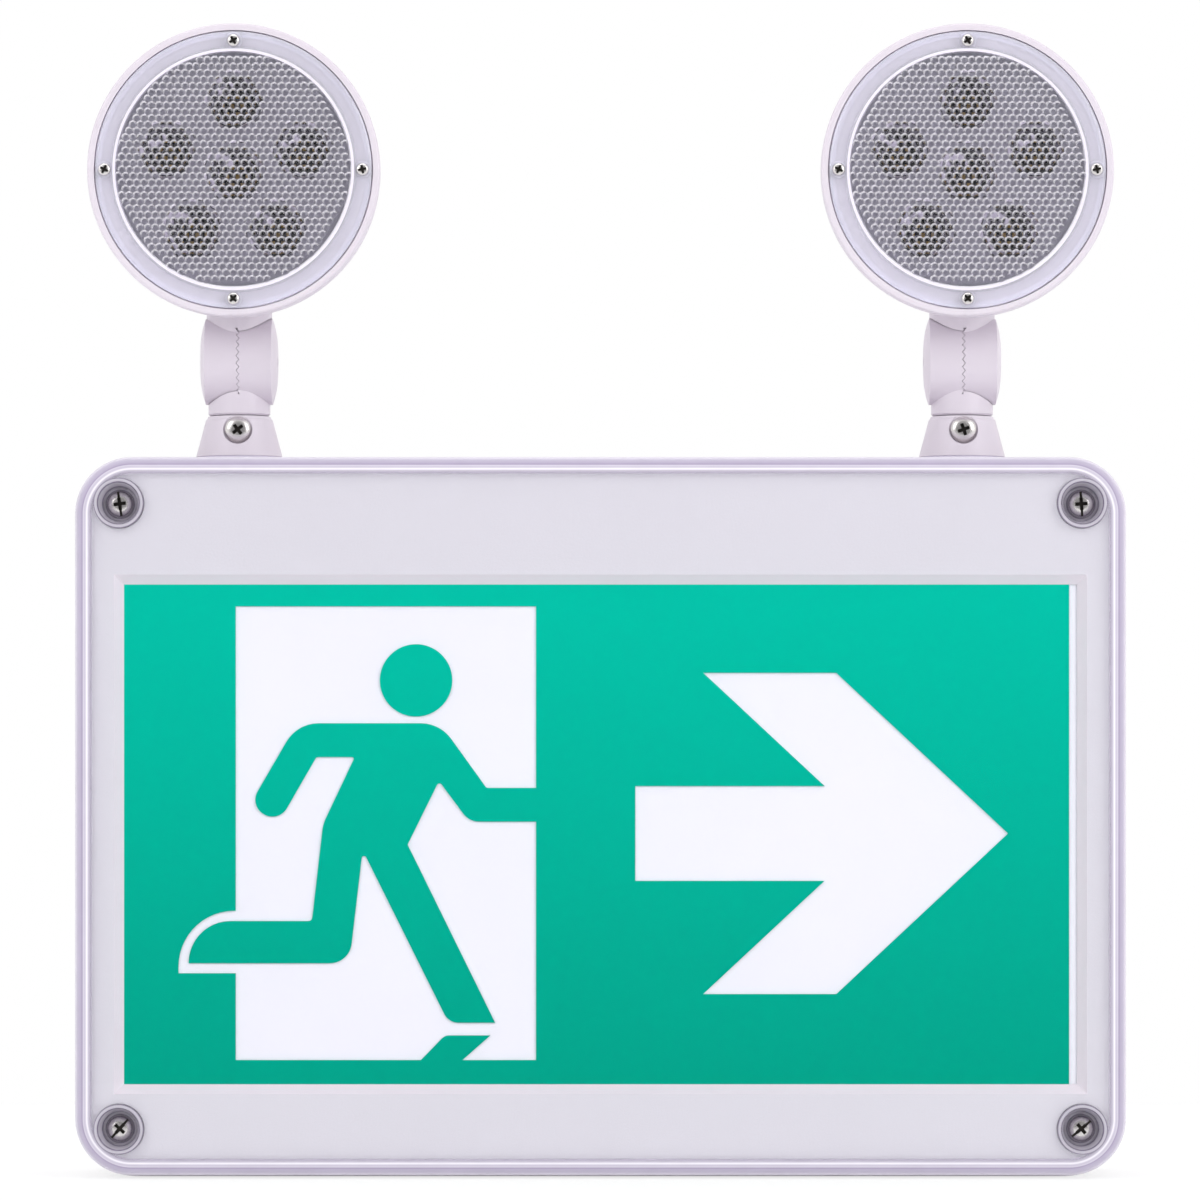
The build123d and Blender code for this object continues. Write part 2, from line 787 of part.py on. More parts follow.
core_place = (board_x - board_width / 4, board_z + board_height / 5)
with BuildPart() as transformer:
    with BuildSketch(front_at(board_front)):
        with Locations(core_place):
            Rectangle(core_width, core_height)
    extrude(amount=core_depth)
    with BuildSketch(front_at(board_front + core_depth)):
        with Locations(core_place):
            Rectangle(coil_width, core_height)
    extrude(amount=coil_depth)
    with BuildSketch(front_at(board_front + core_depth + coil_depth)):
        with Locations(core_place):
            Rectangle(core_width, core_height)
    extrude(amount=core_cap)
    chamfer(transformer.edges().filter_by(Axis.Y), core_chamfer)
keep(transformer, "transformer")

terminal_place = (board_x - board_width / 4, board_z - board_height / 3)
with BuildPart() as terminal_block:
    with BuildSketch(front_at(board_front)):
        with Locations(terminal_place):
            Rectangle(terminal_ways * terminal_pitch, terminal_height)
    extrude(amount=terminal_depth)
    with BuildSketch(front_at(board_front + terminal_depth)):
        with Locations(terminal_place):
            with GridLocations(terminal_pitch, 1, terminal_ways, 1):
                Circle(terminal_hole)
    extrude(amount=-terminal_hole_depth, mode=Mode.SUBTRACT)
keep(terminal_block, "terminal_block")

# Relay, chip, heat sink and two capacitors, each at its share of the board
with BuildPart() as board_parts:
    for part_size, place in ((relay_size, relay_place), (chip_size, chip_place), (sink_size, sink_place)):
        with BuildSketch(front_at(board_front)):
            with Locations((board_x + place[0] * board_width, board_z + place[1] * board_height)):
                Rectangle(part_size[0], part_size[1])
        extrude(amount=part_size[2])
    with BuildSketch(front_at(board_front)):
        with Locations((board_x + capacitor_place[0] * board_width, board_z + capacitor_place[1] * board_height)):
            with GridLocations(capacitor_pitch, 1, 2, 1):
                Circle(capacitor_radius)
    extrude(amount=capacitor_length)
keep(board_parts, "board_parts")

board_screw = pan_screw(
    front_at(board_front), inner_head, inner_head_height, inner_shank, inner_shank_length + board_thickness - 1
)
strap_screw = pan_screw(
    front_at(strap_low + strap_thickness),
    inner_head,
    inner_head_height,
    inner_shank,
    inner_shank_length + strap_thickness - 1,
)
with BuildPart() as inner_screws:
    for x in (board_hole_inset - board_width / 2, board_width / 2 - board_hole_inset):
        for z in (board_hole_inset - board_height / 2, board_height / 2 - board_hole_inset):
            add(board_screw.moved(Location((board_x + x, 0, board_z + z))))
    for x in (-(pack_width + strap_foot) / 2, (pack_width + strap_foot) / 2):
        add(strap_screw.moved(Location((battery_x + x, 0, battery_z))))
keep(inner_screws, "inner_screws")

# Test switch with its nut and button, and the pilot light, all inside the underside recess
switch_base = pocket_roof + bushing_length
with BuildPart() as test_switch:
    with BuildSketch(Plane.XY.offset(pocket_roof)):
        with Locations((button_x, -pocket_depth)):
            Circle(bushing_flange)
    extrude(amount=-bushing_flange_height)
    with BuildSketch(Plane.XY.offset(pocket_roof)):
        with Locations((button_x, -pocket_depth)):
            Circle(bushing_radius)
    extrude(amount=bushing_length)
    with BuildSketch(Plane.XY.offset(switch_base)):
        with Locations((button_x, -pocket_depth)):
            RectangleRounded(switch_size, switch_size, switch_corner)
    extrude(amount=switch_length)
    with BuildSketch(Plane.XY.offset(pocket_roof - bushing_flange_height)):
        with Locations((button_x, -pocket_depth)):
            Circle(button_radius + running_gap)
    extrude(amount=bushing_flange_height + bushing_length, mode=Mode.SUBTRACT)
keep(test_switch, "test_switch")

with BuildPart() as test_switch_nut:
    with BuildSketch(Plane.XY.offset(roof_top)):
        with Locations((button_x, -pocket_depth)):
            RegularPolygon(bushing_radius + switch_nut_width, 6)
            Circle(bushing_radius + running_gap, mode=Mode.SUBTRACT)
    extrude(amount=switch_nut_height)
keep(test_switch_nut, "test_switch_nut")

button_low = pocket_roof - bushing_flange_height - button_show
button_high = switch_base - button_travel - led_board_gap
with BuildPart() as test_button:
    with BuildSketch(Plane.XY.offset(button_low)):
        with Locations((button_x, -pocket_depth)):
            Circle(button_radius)
    extrude(amount=button_high - button_low)
    fillet(test_button.edges().group_by(Axis.Z)[0], button_round)
keep(test_button, "test_button")

with BuildPart() as pilot_light:
    with BuildSketch(Plane.XY.offset(pocket_roof)):
        with Locations((pilot_x, -pocket_depth)):
            Circle(pilot_radius + pilot_flange)
    extrude(amount=-pilot_flange_height)
    with BuildSketch(Plane.XY.offset(pocket_roof - pilot_flange_height)):
        with Locations((pilot_x, -pocket_depth)):
            Circle(pilot_lens)
    extrude(amount=-pilot_dome)
    fillet(pilot_light.edges().group_by(Axis.Z)[0], pilot_round)
    with BuildSketch(Plane.XY.offset(pocket_roof)):
        with Locations((pilot_x, -pocket_depth)):
            Circle(pilot_radius)
    extrude(amount=pilot_length)
keep(pilot_light, "pilot_light")


def bowl_outline(inset):
    """Half outline of the lamp bowl on its horizontal section, this far inside its outer face."""
    rim_y = ledge_height - ledge_depth
    side = bowl_radius - inset
    back_y = -bowl_back - inset
    back_side = bowl_back_radius - 0.6 * inset
    middle = ((side + back_side) / 2 + bowl_swell_side, (rim_y + back_y) / 2 + bowl_swell_back)
    Polyline((back_side, back_y), (0, back_y), (0, rim_y), (side, rim_y), (side, rim_y + bowl_rim_height))
    ThreePointArc((side, rim_y + bowl_rim_height), middle, (back_side, back_y))


def half_disc(way):
    """Half outline of one toothed disc, from its mating face outwards along way times x."""
    face = way * tooth_gap / 2
    Polyline((way * disc_half, 0), (face, 0), (face, disc_radius), (way * disc_flank, disc_radius))
    ThreePointArc(
        (way * disc_flank, disc_radius),
        (way * (disc_half - disc_shoulder_drop), disc_shoulder),
        (way * disc_half, disc_flat),
    )
    Line((way * disc_half, disc_flat), (way * disc_half, 0))


def tooth_grooves(tilt_axis, shift):
    """The grooves of one disc, cut into it along the axis. They taper towards the disc's middle."""
    into = tilt_axis.direction
    face = tilt_axis.position + into * (tooth_gap / 2)
    with BuildPart() as groove:
        for radius in (tooth_inner, disc_radius + tooth_overrun):
            half = tooth_fill * pi * radius / tooth_count
            depth = tooth_depth * radius / disc_radius
            with BuildSketch(Plane(origin=face + Vector(0, 0, radius), x_dir=into, z_dir=(0, 0, 1))):
                with BuildLine():
                    Polyline((-tooth_lead, half), (-tooth_lead, -half), (depth, 0), close=True)
                make_face()
        loft(ruled=True)
    step = 360 / tooth_count
    return [groove.part.rotate(tilt_axis, step * (turn + shift)) for turn in range(tooth_count)]


def lamp(side, name):
    """One lamp with its collar, arm and head. Outward from the box's middle is +x of its own plane."""
    foot = Vector(side * lamp_x, -arm_depth, 0)
    knuckle = Vector(side * lamp_x, -arm_depth, axis_z)
    centre = Vector(side * lamp_x, 0, head_z)
    pan_axis = Axis(foot, (0, 0, 1))
    tilt_axis = Axis(knuckle, (side, 0, 0))
    pan_profile = Plane(origin=foot, x_dir=(side, 0, 0), z_dir=(0, -side, 0))
    tilt_profile = Plane(origin=knuckle, x_dir=(side, 0, 0), z_dir=(0, -side, 0))
    lock_plane = Plane(origin=foot + Vector(0, -lock_seat, lock_z), x_dir=(1, 0, 0), z_dir=(0, -1, 0))

    # Gasket, collar and nut on the top wall
    with BuildPart() as collar_gasket:
        with BuildSketch(Plane(origin=foot + Vector(0, 0, box_top))):
            Circle(collar_base - gasket_set)
            Circle(spigot_radius + pass_gap, mode=Mode.SUBTRACT)
        extrude(amount=gasket_thickness)
    keep(collar_gasket, name + "_collar_gasket")

    bore = stem_radius + running_gap
    with BuildPart() as collar:
        with BuildSketch(pan_profile):
            with BuildLine():
                Polyline(
                    (collar_top + collar_shoulder, collar_crown - collar_step),
                    (collar_base - collar_draft, collar_bottom + collar_step),
                    (collar_base, collar_bottom),
                    (spigot_radius, collar_bottom),
                    (spigot_radius, spigot_bottom),
                    (bore, spigot_bottom),
                    (bore, collar_crown),
                    (collar_top, collar_crown),
                )
                ThreePointArc(
                    (collar_top, collar_crown),
                    (collar_top + 0.36 * collar_shoulder, collar_crown - 0.58 * collar_step),
                    (collar_top + collar_shoulder, collar_crown - collar_step),
                )
            make_face()
        revolve(axis=pan_axis)
        with BuildSketch(lock_plane):
            Circle(lock_recess)
        extrude(amount=collar_base - lock_seat, mode=Mode.SUBTRACT)
        with BuildSketch(lock_plane):
            Circle(lock_shank + running_gap)
        extrude(amount=-lock_seat + 1, mode=Mode.SUBTRACT)
    keep(collar, name + "_collar")

    with BuildPart() as collar_nut:
        with BuildSketch(Plane(origin=foot + Vector(0, 0, box_top - wall))):
            RegularPolygon(nut_corner, 6)
            Circle(spigot_radius + running_gap, mode=Mode.SUBTRACT)
        extrude(amount=-nut_height)
        chamfer(collar_nut.edges().group_by(Axis.Z)[0].filter_by(GeomType.LINE), nut_chamfer)
    keep(collar_nut, name + "_collar_nut")

    lock_reach = lock_seat - (stem_radius - lock_groove) - fit_gap
    lock_solid = pan_screw(lock_plane, lock_head, lock_head_height, lock_shank, lock_reach, crown=lock_crown)
    with BuildPart() as lock_screw:
        add(lock_solid)
    keep(lock_screw, name + "_lock_screw")

    # Base arm: stem, waist and the inner half of the toothed disc
    waist_bottom = collar_crown + fit_gap
    clip_top = spigot_bottom - fit_gap
    groove_half = lock_shank + lock_play
    base_grooves = tooth_grooves(Axis(knuckle, (-side, 0, 0)), 0)
    with BuildPart() as base_arm:
        with BuildSketch(pan_profile):
            with BuildLine():
                Polyline(
                    (0, stem_bottom),
                    (stem_radius, stem_bottom),
                    (stem_radius, clip_top - clip_height - slip_gap),
                    (stem_radius - lock_groove, clip_top - clip_height - slip_gap),
                    (stem_radius - lock_groove, clip_top),
                    (stem_radius, clip_top),
                    (stem_radius, lock_z - groove_half),
                    (stem_radius - lock_groove, lock_z - groove_half),
                    (stem_radius - lock_groove, lock_z + groove_half),
                    (stem_radius, lock_z + groove_half),
                    (stem_radius, waist_bottom),
                    (waist_radius - waist_edge, waist_bottom),
                    (waist_radius, waist_bottom + waist_edge),
                    (waist_radius, axis_z),
                    (0, axis_z),
                    close=True,
                )
            make_face()
        revolve(axis=pan_axis)
        with BuildSketch(tilt_profile):
            Rectangle(disc_half + 5, disc_radius + disc_gap, align=(Align.MIN, Align.MIN))
        revolve(axis=tilt_axis, mode=Mode.SUBTRACT)
        with BuildSketch(tilt_profile):
            with BuildLine():
                half_disc(-1)
            make_face()
        revolve(axis=tilt_axis)
        with BuildSketch(tilt_profile):
            Rectangle(insert_end, insert_radius, align=(Align.MAX, Align.MIN))
            Rectangle(disc_half + 1, tip_hole, align=(Align.MAX, Align.MIN))
        revolve(axis=tilt_axis, mode=Mode.SUBTRACT)
        with BuildSketch(Plane(origin=foot + Vector(0, 0, stem_bottom))):
            Circle(wire_bore)
        extrude(amount=axis_z - disc_radius - stem_bottom + 3, mode=Mode.SUBTRACT)
        add(base_grooves, mode=Mode.SUBTRACT)
    keep(base_arm, name + "_base_arm")

    with BuildPart() as stem_clip:
        with BuildSketch(Plane(origin=foot + Vector(0, 0, clip_top))):
            Circle(spigot_radius)
            Circle(stem_radius - lock_groove + running_gap, mode=Mode.SUBTRACT)
            with Locations((0, spigot_radius)):
                Rectangle(clip_mouth, 2 * spigot_radius - clip_grip, mode=Mode.SUBTRACT)
        extrude(amount=-clip_height)
    keep(stem_clip, name + "_stem_clip")

    # Knuckle screw from the outer side into an insert in the base arm
    screw_plane = Plane(origin=knuckle + Vector(side * (knuckle_seat + fit_gap), 0, 0), z_dir=(side, 0, 0))
    knuckle_reach = knuckle_seat + fit_gap + insert_end - knuckle_short
    knuckle_solid = pan_screw(screw_plane, knuckle_head, knuckle_head_height, knuckle_shank, knuckle_reach)
    with BuildPart() as knuckle_screw:
        add(knuckle_solid)
    keep(knuckle_screw, name + "_knuckle_screw")

    with BuildPart() as knuckle_insert:
        with BuildSketch(Plane(origin=knuckle + Vector(-side * insert_end, 0, 0), z_dir=(side, 0, 0))):
            Circle(insert_radius - running_gap)
            Circle(knuckle_shank + running_gap, mode=Mode.SUBTRACT)
        extrude(amount=insert_length)
    keep(knuckle_insert, name + "_knuckle_insert")

    # Lamp shell: bowl, rim, neck and the outer half of the toothed disc
    lamp_axis = Axis(centre, (0, -1, 0))
    lamp_profile = Plane(origin=centre, x_dir=(1, 0, 0), z_dir=(0, 0, 1))
    head_grooves = tooth_grooves(tilt_axis, 0.5)
    # Posts for the LED board, which end inside the bowl's wall
    with BuildPart() as lamp_posts:
        with BuildSketch(front_at(bowl_back)):
            with Locations((centre.X, centre.Z)):
                with PolarLocations(lamp_post_circle, lamp_post_count, start_angle=90):
                    Circle(lamp_post_radius)
        extrude(amount=lamp_board_depth - bowl_back)
        with BuildSketch(lamp_profile):
            with BuildLine():
                bowl_outline(bowl_wall / 2)
            make_face()
        revolve(axis=lamp_axis, mode=Mode.INTERSECT)
    with BuildPart() as head_shell:
        with BuildSketch(lamp_profile):
            with BuildLine():
                bowl_outline(0)
            make_face()
            with BuildLine():
                Polyline(
                    (0, -ledge_depth + ledge_height),
                    (bowl_radius, -ledge_depth + ledge_height),
                    (head_radius, -head_front + head_rim),
                    (head_radius, -head_front),
                    (0, -head_front),
                    close=True,
                )
            make_face()
        revolve(axis=lamp_axis)
        with BuildSketch(Plane(origin=knuckle)):
            Circle(neck_radius)
        extrude(amount=head_rise - bowl_back_radius)
        with BuildSketch(tilt_profile):
            Rectangle(disc_half + 5, disc_radius + disc_gap, align=(Align.MAX, Align.MIN))
        revolve(axis=tilt_axis, mode=Mode.SUBTRACT)
        with BuildSketch(tilt_profile):
            with BuildLine():
                half_disc(1)
            make_face()
        revolve(axis=tilt_axis)
        with BuildSketch(tilt_profile):
            Rectangle(disc_half + 1, knuckle_shank + running_gap, align=(Align.MIN, Align.MIN))
            with Locations((knuckle_seat, 0)):
                Rectangle(disc_half, knuckle_head + knuckle_head_gap, align=(Align.MIN, Align.MIN))
        revolve(axis=tilt_axis, mode=Mode.SUBTRACT)
        add(head_grooves, mode=Mode.SUBTRACT)
        # Cavity, ledge for the lens and its screw holes
        with BuildSketch(lamp_profile):
            with BuildLine():
                bowl_outline(bowl_wall)
            make_face()
        revolve(axis=lamp_axis, mode=Mode.SUBTRACT)
        with BuildSketch(front_at(ledge_depth - ledge_height)):
            with Locations((centre.X, centre.Z)):
                Circle(ledge_bore)
        extrude(amount=ledge_height, mode=Mode.SUBTRACT)
        with BuildSketch(front_at(ledge_depth)):
            with Locations((centre.X, centre.Z)):
                Circle(lens_seat_radius)
        extrude(amount=head_front - ledge_depth, mode=Mode.SUBTRACT)
        with BuildSketch(front_at(ledge_depth)):
            with Locations((centre.X, centre.Z)):
                with PolarLocations(lens_screw_circle, 4):
                    Circle(lens_screw_shank + running_gap)
        extrude(amount=-ledge_height + ledge_floor, mode=Mode.SUBTRACT)
        add(lamp_posts)
        fillet(head_shell.faces().sort_by(Axis.Y)[0].outer_wire().edges(), head_round)
    keep(head_shell, name + "_head_shell")

    with BuildPart() as lens_gasket:
        with BuildSketch(front_at(ledge_depth)):
            with Locations((centre.X, centre.Z)):
                Circle(lens_radius)
                Circle(lens_radius - lens_gasket_width, mode=Mode.SUBTRACT)
        extrude(amount=lens_gasket_thickness)
    keep(lens_gasket, name + "_lens_gasket")

    lens_back = ledge_depth + lens_gasket_thickness
    lens_front = lens_back + lens_thickness
    with BuildPart() as lens:
        with BuildSketch(front_at(lens_back)):
            with Locations((centre.X, centre.Z)):
                Circle(lens_radius)
        extrude(amount=lens_thickness)
        with BuildSketch(front_at(lens_front)):
            with Locations((centre.X, centre.Z)):
                Circle(prism_radius)
        extrude(amount=prism_rise)
        with BuildSketch(front_at(lens_front)):
            with Locations((centre.X, centre.Z)):
                Circle(lens_lip_radius)
                Circle(lens_lip_radius - lens_lip_width, mode=Mode.SUBTRACT)
        extrude(amount=lens_lip_rise)
        with BuildSketch(front_at(lens_front)):
            with Locations((centre.X, centre.Z)):
                with PolarLocations(lens_screw_circle, 4):
                    Circle(lens_boss)
        extrude(amount=lens_boss_rise)
        with BuildSketch(front_at(lens_back)):
            with Locations((centre.X, centre.Z)):
                with PolarLocations(lens_screw_circle, 4):
                    Circle(lens_screw_shank + running_gap)
        extrude(amount=lens_thickness + lens_boss_rise, mode=Mode.SUBTRACT)
    keep(lens, name + "_lens")

    lens_screw = pan_screw(
        front_at(lens_front + lens_boss_rise),
        lens_screw_head,
        lens_screw_head_height,
        lens_screw_shank,
        lens_screw_length,
    )
    with BuildPart() as lens_screws:
        for turn in range(4):
            x = lens_screw_circle * cos(turn * pi / 2)
            z = lens_screw_circle * sin(turn * pi / 2)
            add(lens_screw.moved(Location((centre.X + x, 0, centre.Z + z))))
    keep(lens_screws, name + "_lens_screws")

    # LED board with six LEDs, an optic over each, and the plate that the optics stand in
    board_front_depth = lamp_board_depth + lamp_board_thickness
    with BuildPart() as lamp_board:
        with BuildSketch(front_at(lamp_board_depth)):
            with Locations((centre.X, centre.Z)):
                Circle(lamp_board_radius)
        extrude(amount=lamp_board_thickness)
    keep(lamp_board, name + "_lamp_board")

    optic_places = [(centre.X, centre.Z)]
    for turn in range(ring_optic_count):
        angle = radians(90 + 360 / ring_optic_count * turn)
        optic_places.append((centre.X + optic_circle * cos(angle), centre.Z + optic_circle * sin(angle)))

    with BuildPart() as lamp_leds:
        with BuildSketch(front_at(board_front_depth)):
            with Locations(optic_places):
                Rectangle(lamp_led_size, lamp_led_size)
        extrude(amount=lamp_led_height)
    keep(lamp_leds, name + "_lamp_leds")

    with BuildPart() as optics:
        for place in optic_places:
            with BuildSketch(front_at(board_front_depth)):
                with Locations(place):
                    Circle(optic_foot)
            with BuildSketch(front_at(optic_front - optic_rim)):
                with Locations(place):
                    Circle(optic_radius)
            loft()
        with BuildSketch(front_at(optic_front - optic_rim)):
            with Locations(optic_places):
                Circle(optic_radius)
        extrude(amount=optic_rim)
        with BuildSketch(front_at(board_front_depth)):
            with Locations(optic_places):
                Circle(lamp_led_size / 2 + optic_hollow)
        extrude(amount=lamp_led_height + optic_room, mode=Mode.SUBTRACT)
    keep(optics, name + "_optics")

    with BuildPart() as reflector_plate:
        with BuildSketch(front_at(plate_front)):
            with Locations((centre.X, centre.Z)):
                Circle(ledge_bore - fit_gap)
            with Locations(optic_places):
                Circle(optic_radius + optic_gap, mode=Mode.SUBTRACT)
        extrude(amount=-plate_thickness)
    keep(reflector_plate, name + "_reflector_plate")


lamp(-1, "left")
lamp(1, "right")
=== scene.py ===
"""Looks for the emergency exit light: finishes, screws, prismatic lenses and the studio it is seen in."""

import math

import bmesh
import bpy
from bpy.props import FloatProperty, FloatVectorProperty, IntProperty, PointerProperty
from bpy.types import Operator, Panel, PropertyGroup
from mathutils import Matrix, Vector


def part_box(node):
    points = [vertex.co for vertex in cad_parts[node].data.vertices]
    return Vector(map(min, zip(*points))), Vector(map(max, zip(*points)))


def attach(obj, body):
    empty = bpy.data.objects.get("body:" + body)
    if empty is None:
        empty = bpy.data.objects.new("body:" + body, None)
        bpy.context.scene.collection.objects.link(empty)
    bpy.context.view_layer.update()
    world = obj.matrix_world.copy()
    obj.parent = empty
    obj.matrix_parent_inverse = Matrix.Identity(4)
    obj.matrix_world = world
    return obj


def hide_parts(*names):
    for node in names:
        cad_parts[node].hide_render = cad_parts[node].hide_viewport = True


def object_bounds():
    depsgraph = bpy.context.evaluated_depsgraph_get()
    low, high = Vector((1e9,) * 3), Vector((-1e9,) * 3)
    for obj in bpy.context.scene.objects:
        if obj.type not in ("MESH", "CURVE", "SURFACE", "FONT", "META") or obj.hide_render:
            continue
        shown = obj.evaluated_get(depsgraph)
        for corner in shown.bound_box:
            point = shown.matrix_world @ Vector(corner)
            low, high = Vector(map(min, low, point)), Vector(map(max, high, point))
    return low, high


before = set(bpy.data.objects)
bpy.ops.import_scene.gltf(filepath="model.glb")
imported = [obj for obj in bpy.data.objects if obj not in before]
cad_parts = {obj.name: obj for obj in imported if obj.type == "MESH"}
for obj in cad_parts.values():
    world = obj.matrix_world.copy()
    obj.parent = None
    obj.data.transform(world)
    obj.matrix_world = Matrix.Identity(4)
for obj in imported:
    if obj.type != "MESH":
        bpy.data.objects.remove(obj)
cad_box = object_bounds()

bl_info = {
    "name": "Emergency Exit Light",
    "version": (1, 0, 0),
    "blender": (4, 5, 0),
    "location": "View3D > Sidebar > Exit Light",
    "description": "Finishes and fine parts of a wall-mounted exit light with two lamp heads",
    "category": "Object",
}

MM = 0.001
WHITE = (1.0, 1.0, 1.0, 1.0)
SIDES = {"left": -1, "right": 1}  # the way from the middle to each lamp, along x

# Places and sizes on the CAD model.
SEAM_X = 121.5 * MM  # where the two toothed discs of a knuckle meet
LENS_SCREW_RING = 42.7 * MM  # radius of the circle of the four lens screws
OPTIC_RING = 23.6 * MM  # radius of the circle of the five outer optics
COVER_CORNER = 18.8 * MM  # corner radius of the clear cover
WELL_AXIS = (159.35 * MM, 0, 103.55 * MM)  # axis of the cover's upper right screw well
COVER_SEAT, LENS_SEAT, LOCK_SEAT = -78.8 * MM, -85.2 * MM, -54.4 * MM  # y of the faces under screw heads
WINDOW_DROP = 6.0 * MM  # how far the window's middle lies below the panel's
BEVEL_X, BEVEL_Z = 161.05 * MM, 85.95 * MM  # half the size of the bevel round the window

# Kinds of node that come up often.
MATH, VECTOR, SPLIT = "ShaderNodeMath", "ShaderNodeVectorMath", "ShaderNodeSeparateXYZ"
REMAP, MIX, NOISE, BUMP = "ShaderNodeMapRange", "ShaderNodeMix", "ShaderNodeTexNoise", "ShaderNodeBump"
LIGHT_PATH, MIX_SHADER, COMBINE = "ShaderNodeLightPath", "ShaderNodeMixShader", "ShaderNodeCombineXYZ"
POSITION, PUT, TRANSFORM = "GeometryNodeInputPosition", "GeometryNodeSetPosition", "GeometryNodeTransform"
GRID, CONE, SET_MATERIAL = "GeometryNodeMeshGrid", "GeometryNodeMeshCone", "GeometryNodeSetMaterial"
JOIN, INSTANCES, COMPARE = "GeometryNodeJoinGeometry", "GeometryNodeInstanceOnPoints", "FunctionNodeCompare"


def linear(code):
    """Linear RGBA of an sRGB hex colour."""
    channels = [int(code[at : at + 2], 16) / 255 for at in (1, 3, 5)]
    return tuple(c / 12.92 if c <= 0.04045 else ((c + 0.055) / 1.055) ** 2.4 for c in channels) + (1.0,)


def middle(name):
    """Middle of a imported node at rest, in metres."""
    low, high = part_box(name)
    return (Vector(low) + Vector(high)) / 2


def lens_screw_axes(centre, y):
    """Points at that depth on the axes of the four screws of a lens."""
    turns = [quarter * math.pi / 2 for quarter in range(4)]
    ring = LENS_SCREW_RING
    return [Vector((centre.x + ring * math.cos(a), y, centre.z + ring * math.sin(a))) for a in turns]


# ---- sizes and colours that a user would change ----

COLOUR = dict(subtype="COLOR", size=4, min=0, max=1)


class ExitLightLens(PropertyGroup):
    """The clear lens of a lamp head."""

    pitch: FloatProperty(
        name="Prism pitch", description="Distance between the prisms of a row", default=2.46 * MM, unit="LENGTH"
    )
    row: FloatProperty(
        name="Row spacing", description="Distance between rows of prisms", default=2.13 * MM, unit="LENGTH"
    )
    height: FloatProperty(name="Prism height", description="Rise of one prism", default=0.8 * MM, unit="LENGTH")
    zone: FloatProperty(
        name="Prism field", description="Radius that the prisms' middles reach", default=38.2 * MM, unit="LENGTH"
    )
    sides: IntProperty(name="Prism sides", description="Sides of one prism", default=10, min=6, max=16)
    tint: FloatVectorProperty(
        name="Flange tint", description="Tint of the flange round the prisms", default=linear("#f4f3fa"), **COLOUR
    )


class ExitLightScrews(PropertyGroup):
    """The recesses of the screws."""

    cross: FloatProperty(
        name="Cross length", description="Length of the recess over the head's width", default=0.46, subtype="FACTOR"
    )
    bar: FloatProperty(
        name="Cross width", description="Width of the recess over the head's width", default=0.13, subtype="FACTOR"
    )
    depth: FloatProperty(
        name="Recess depth", description="Depth of the recess over the head's height", default=0.75, subtype="FACTOR"
    )


class ExitLightTeeth(PropertyGroup):
    """The teeth of the lamp knuckles, which fit the grooves of the discs."""

    count: IntProperty(name="Teeth", description="Teeth round one disc", default=36, min=12, max=60)
    depth: FloatProperty(
        name="Tooth depth", description="Height of a tooth at the disc's edge", default=1.0 * MM, unit="LENGTH"
    )


class ExitLightColours(PropertyGroup):
    """Colours of the large surfaces."""

    shell: FloatVectorProperty(
        name="Housing", description="Moulded housing and lamps", default=linear("#d9d1db"), **COLOUR
    )
    panel: FloatVectorProperty(
        name="Face panel", description="Panel round the window", default=linear("#d6d5d9"), **COLOUR
    )
    # The two sign greens differ by height: the paler top is painted light, standing in for the sign's LEDs at its
    # upper edge.
    sign_top: FloatVectorProperty(
        name="Sign green, top", description="Ink at the top", default=linear("#00ba9e"), **COLOUR
    )
    sign_foot: FloatVectorProperty(
        name="Sign green, foot", description="Ink at the foot", default=linear("#009d82"), **COLOUR
    )


class ExitLightStudio(PropertyGroup):
    """Lamps and surroundings."""

    key: FloatProperty(name="Front light", description="Power of the front softboxes", default=13.0, unit="POWER")
    top: FloatProperty(name="Top light", description="Power of the overhead softbox", default=7.0, unit="POWER")
    fill: FloatProperty(name="Surroundings", description="Level of the surroundings", default=0.86)
    gloss: FloatProperty(name="Room in front", description="Level of the dark room in reflections", default=0.25)
    sides: FloatProperty(name="Room at the sides", description="Level of the white walls at the sides", default=1.0)


# ---- nodes and materials ----


def add(tree, kind, values=(), **settings):
    """Adds a node. values are its inputs, in order or by key. Each is a constant, a socket or a node that feeds it
    with its first live output, or a list of these where an input takes several. settings are the node's own."""
    made = tree.nodes.new(kind)
    for key, value in settings.items():
        setattr(made, key, value)
    for key, value in values.items() if isinstance(values, dict) else enumerate(values):
        for source in value if isinstance(value, list) else [value]:
            if isinstance(source, bpy.types.Node):
                source = next(socket for socket in source.outputs if socket.enabled)
            if isinstance(source, bpy.types.NodeSocket):
                tree.links.new(source, made.inputs[key])
            else:
                made.inputs[key].default_value = source
    return made


def blank(name):
    """An empty material, its tree and the object's own coordinates in it."""
    made = bpy.data.materials.new(name)
    made.use_nodes = True
    tree = made.node_tree
    tree.nodes.clear()
    return made, tree, add(tree, "ShaderNodeTexCoord").outputs["Object"]


def drifting(tree, place, scale, pale, deep):
    """A colour that drifts between two tones."""
    drift = add(tree, NOISE, {"Vector": place, "Scale": scale, "Detail": 2.0})
    return add(tree, MIX, {0: drift, 6: pale, 7: deep}, data_type="RGBA")


def ended(made, values, passing=None):
    """Ends a material with a surface of these values, and gives it back. Where a passing colour is given, light from
    the lamps goes through it in that colour to what is behind."""
    tree = made.node_tree
    surface = add(tree, "ShaderNodeBsdfPrincipled", values)
    if passing:
        path = add(tree, LIGHT_PATH).outputs
        clear = add(tree, "ShaderNodeBsdfTransparent", [passing])
        surface = add(tree, MIX_SHADER, [path["Is Shadow Ray"], surface, clear])
    add(tree, "ShaderNodeOutputMaterial", [surface])
    return made


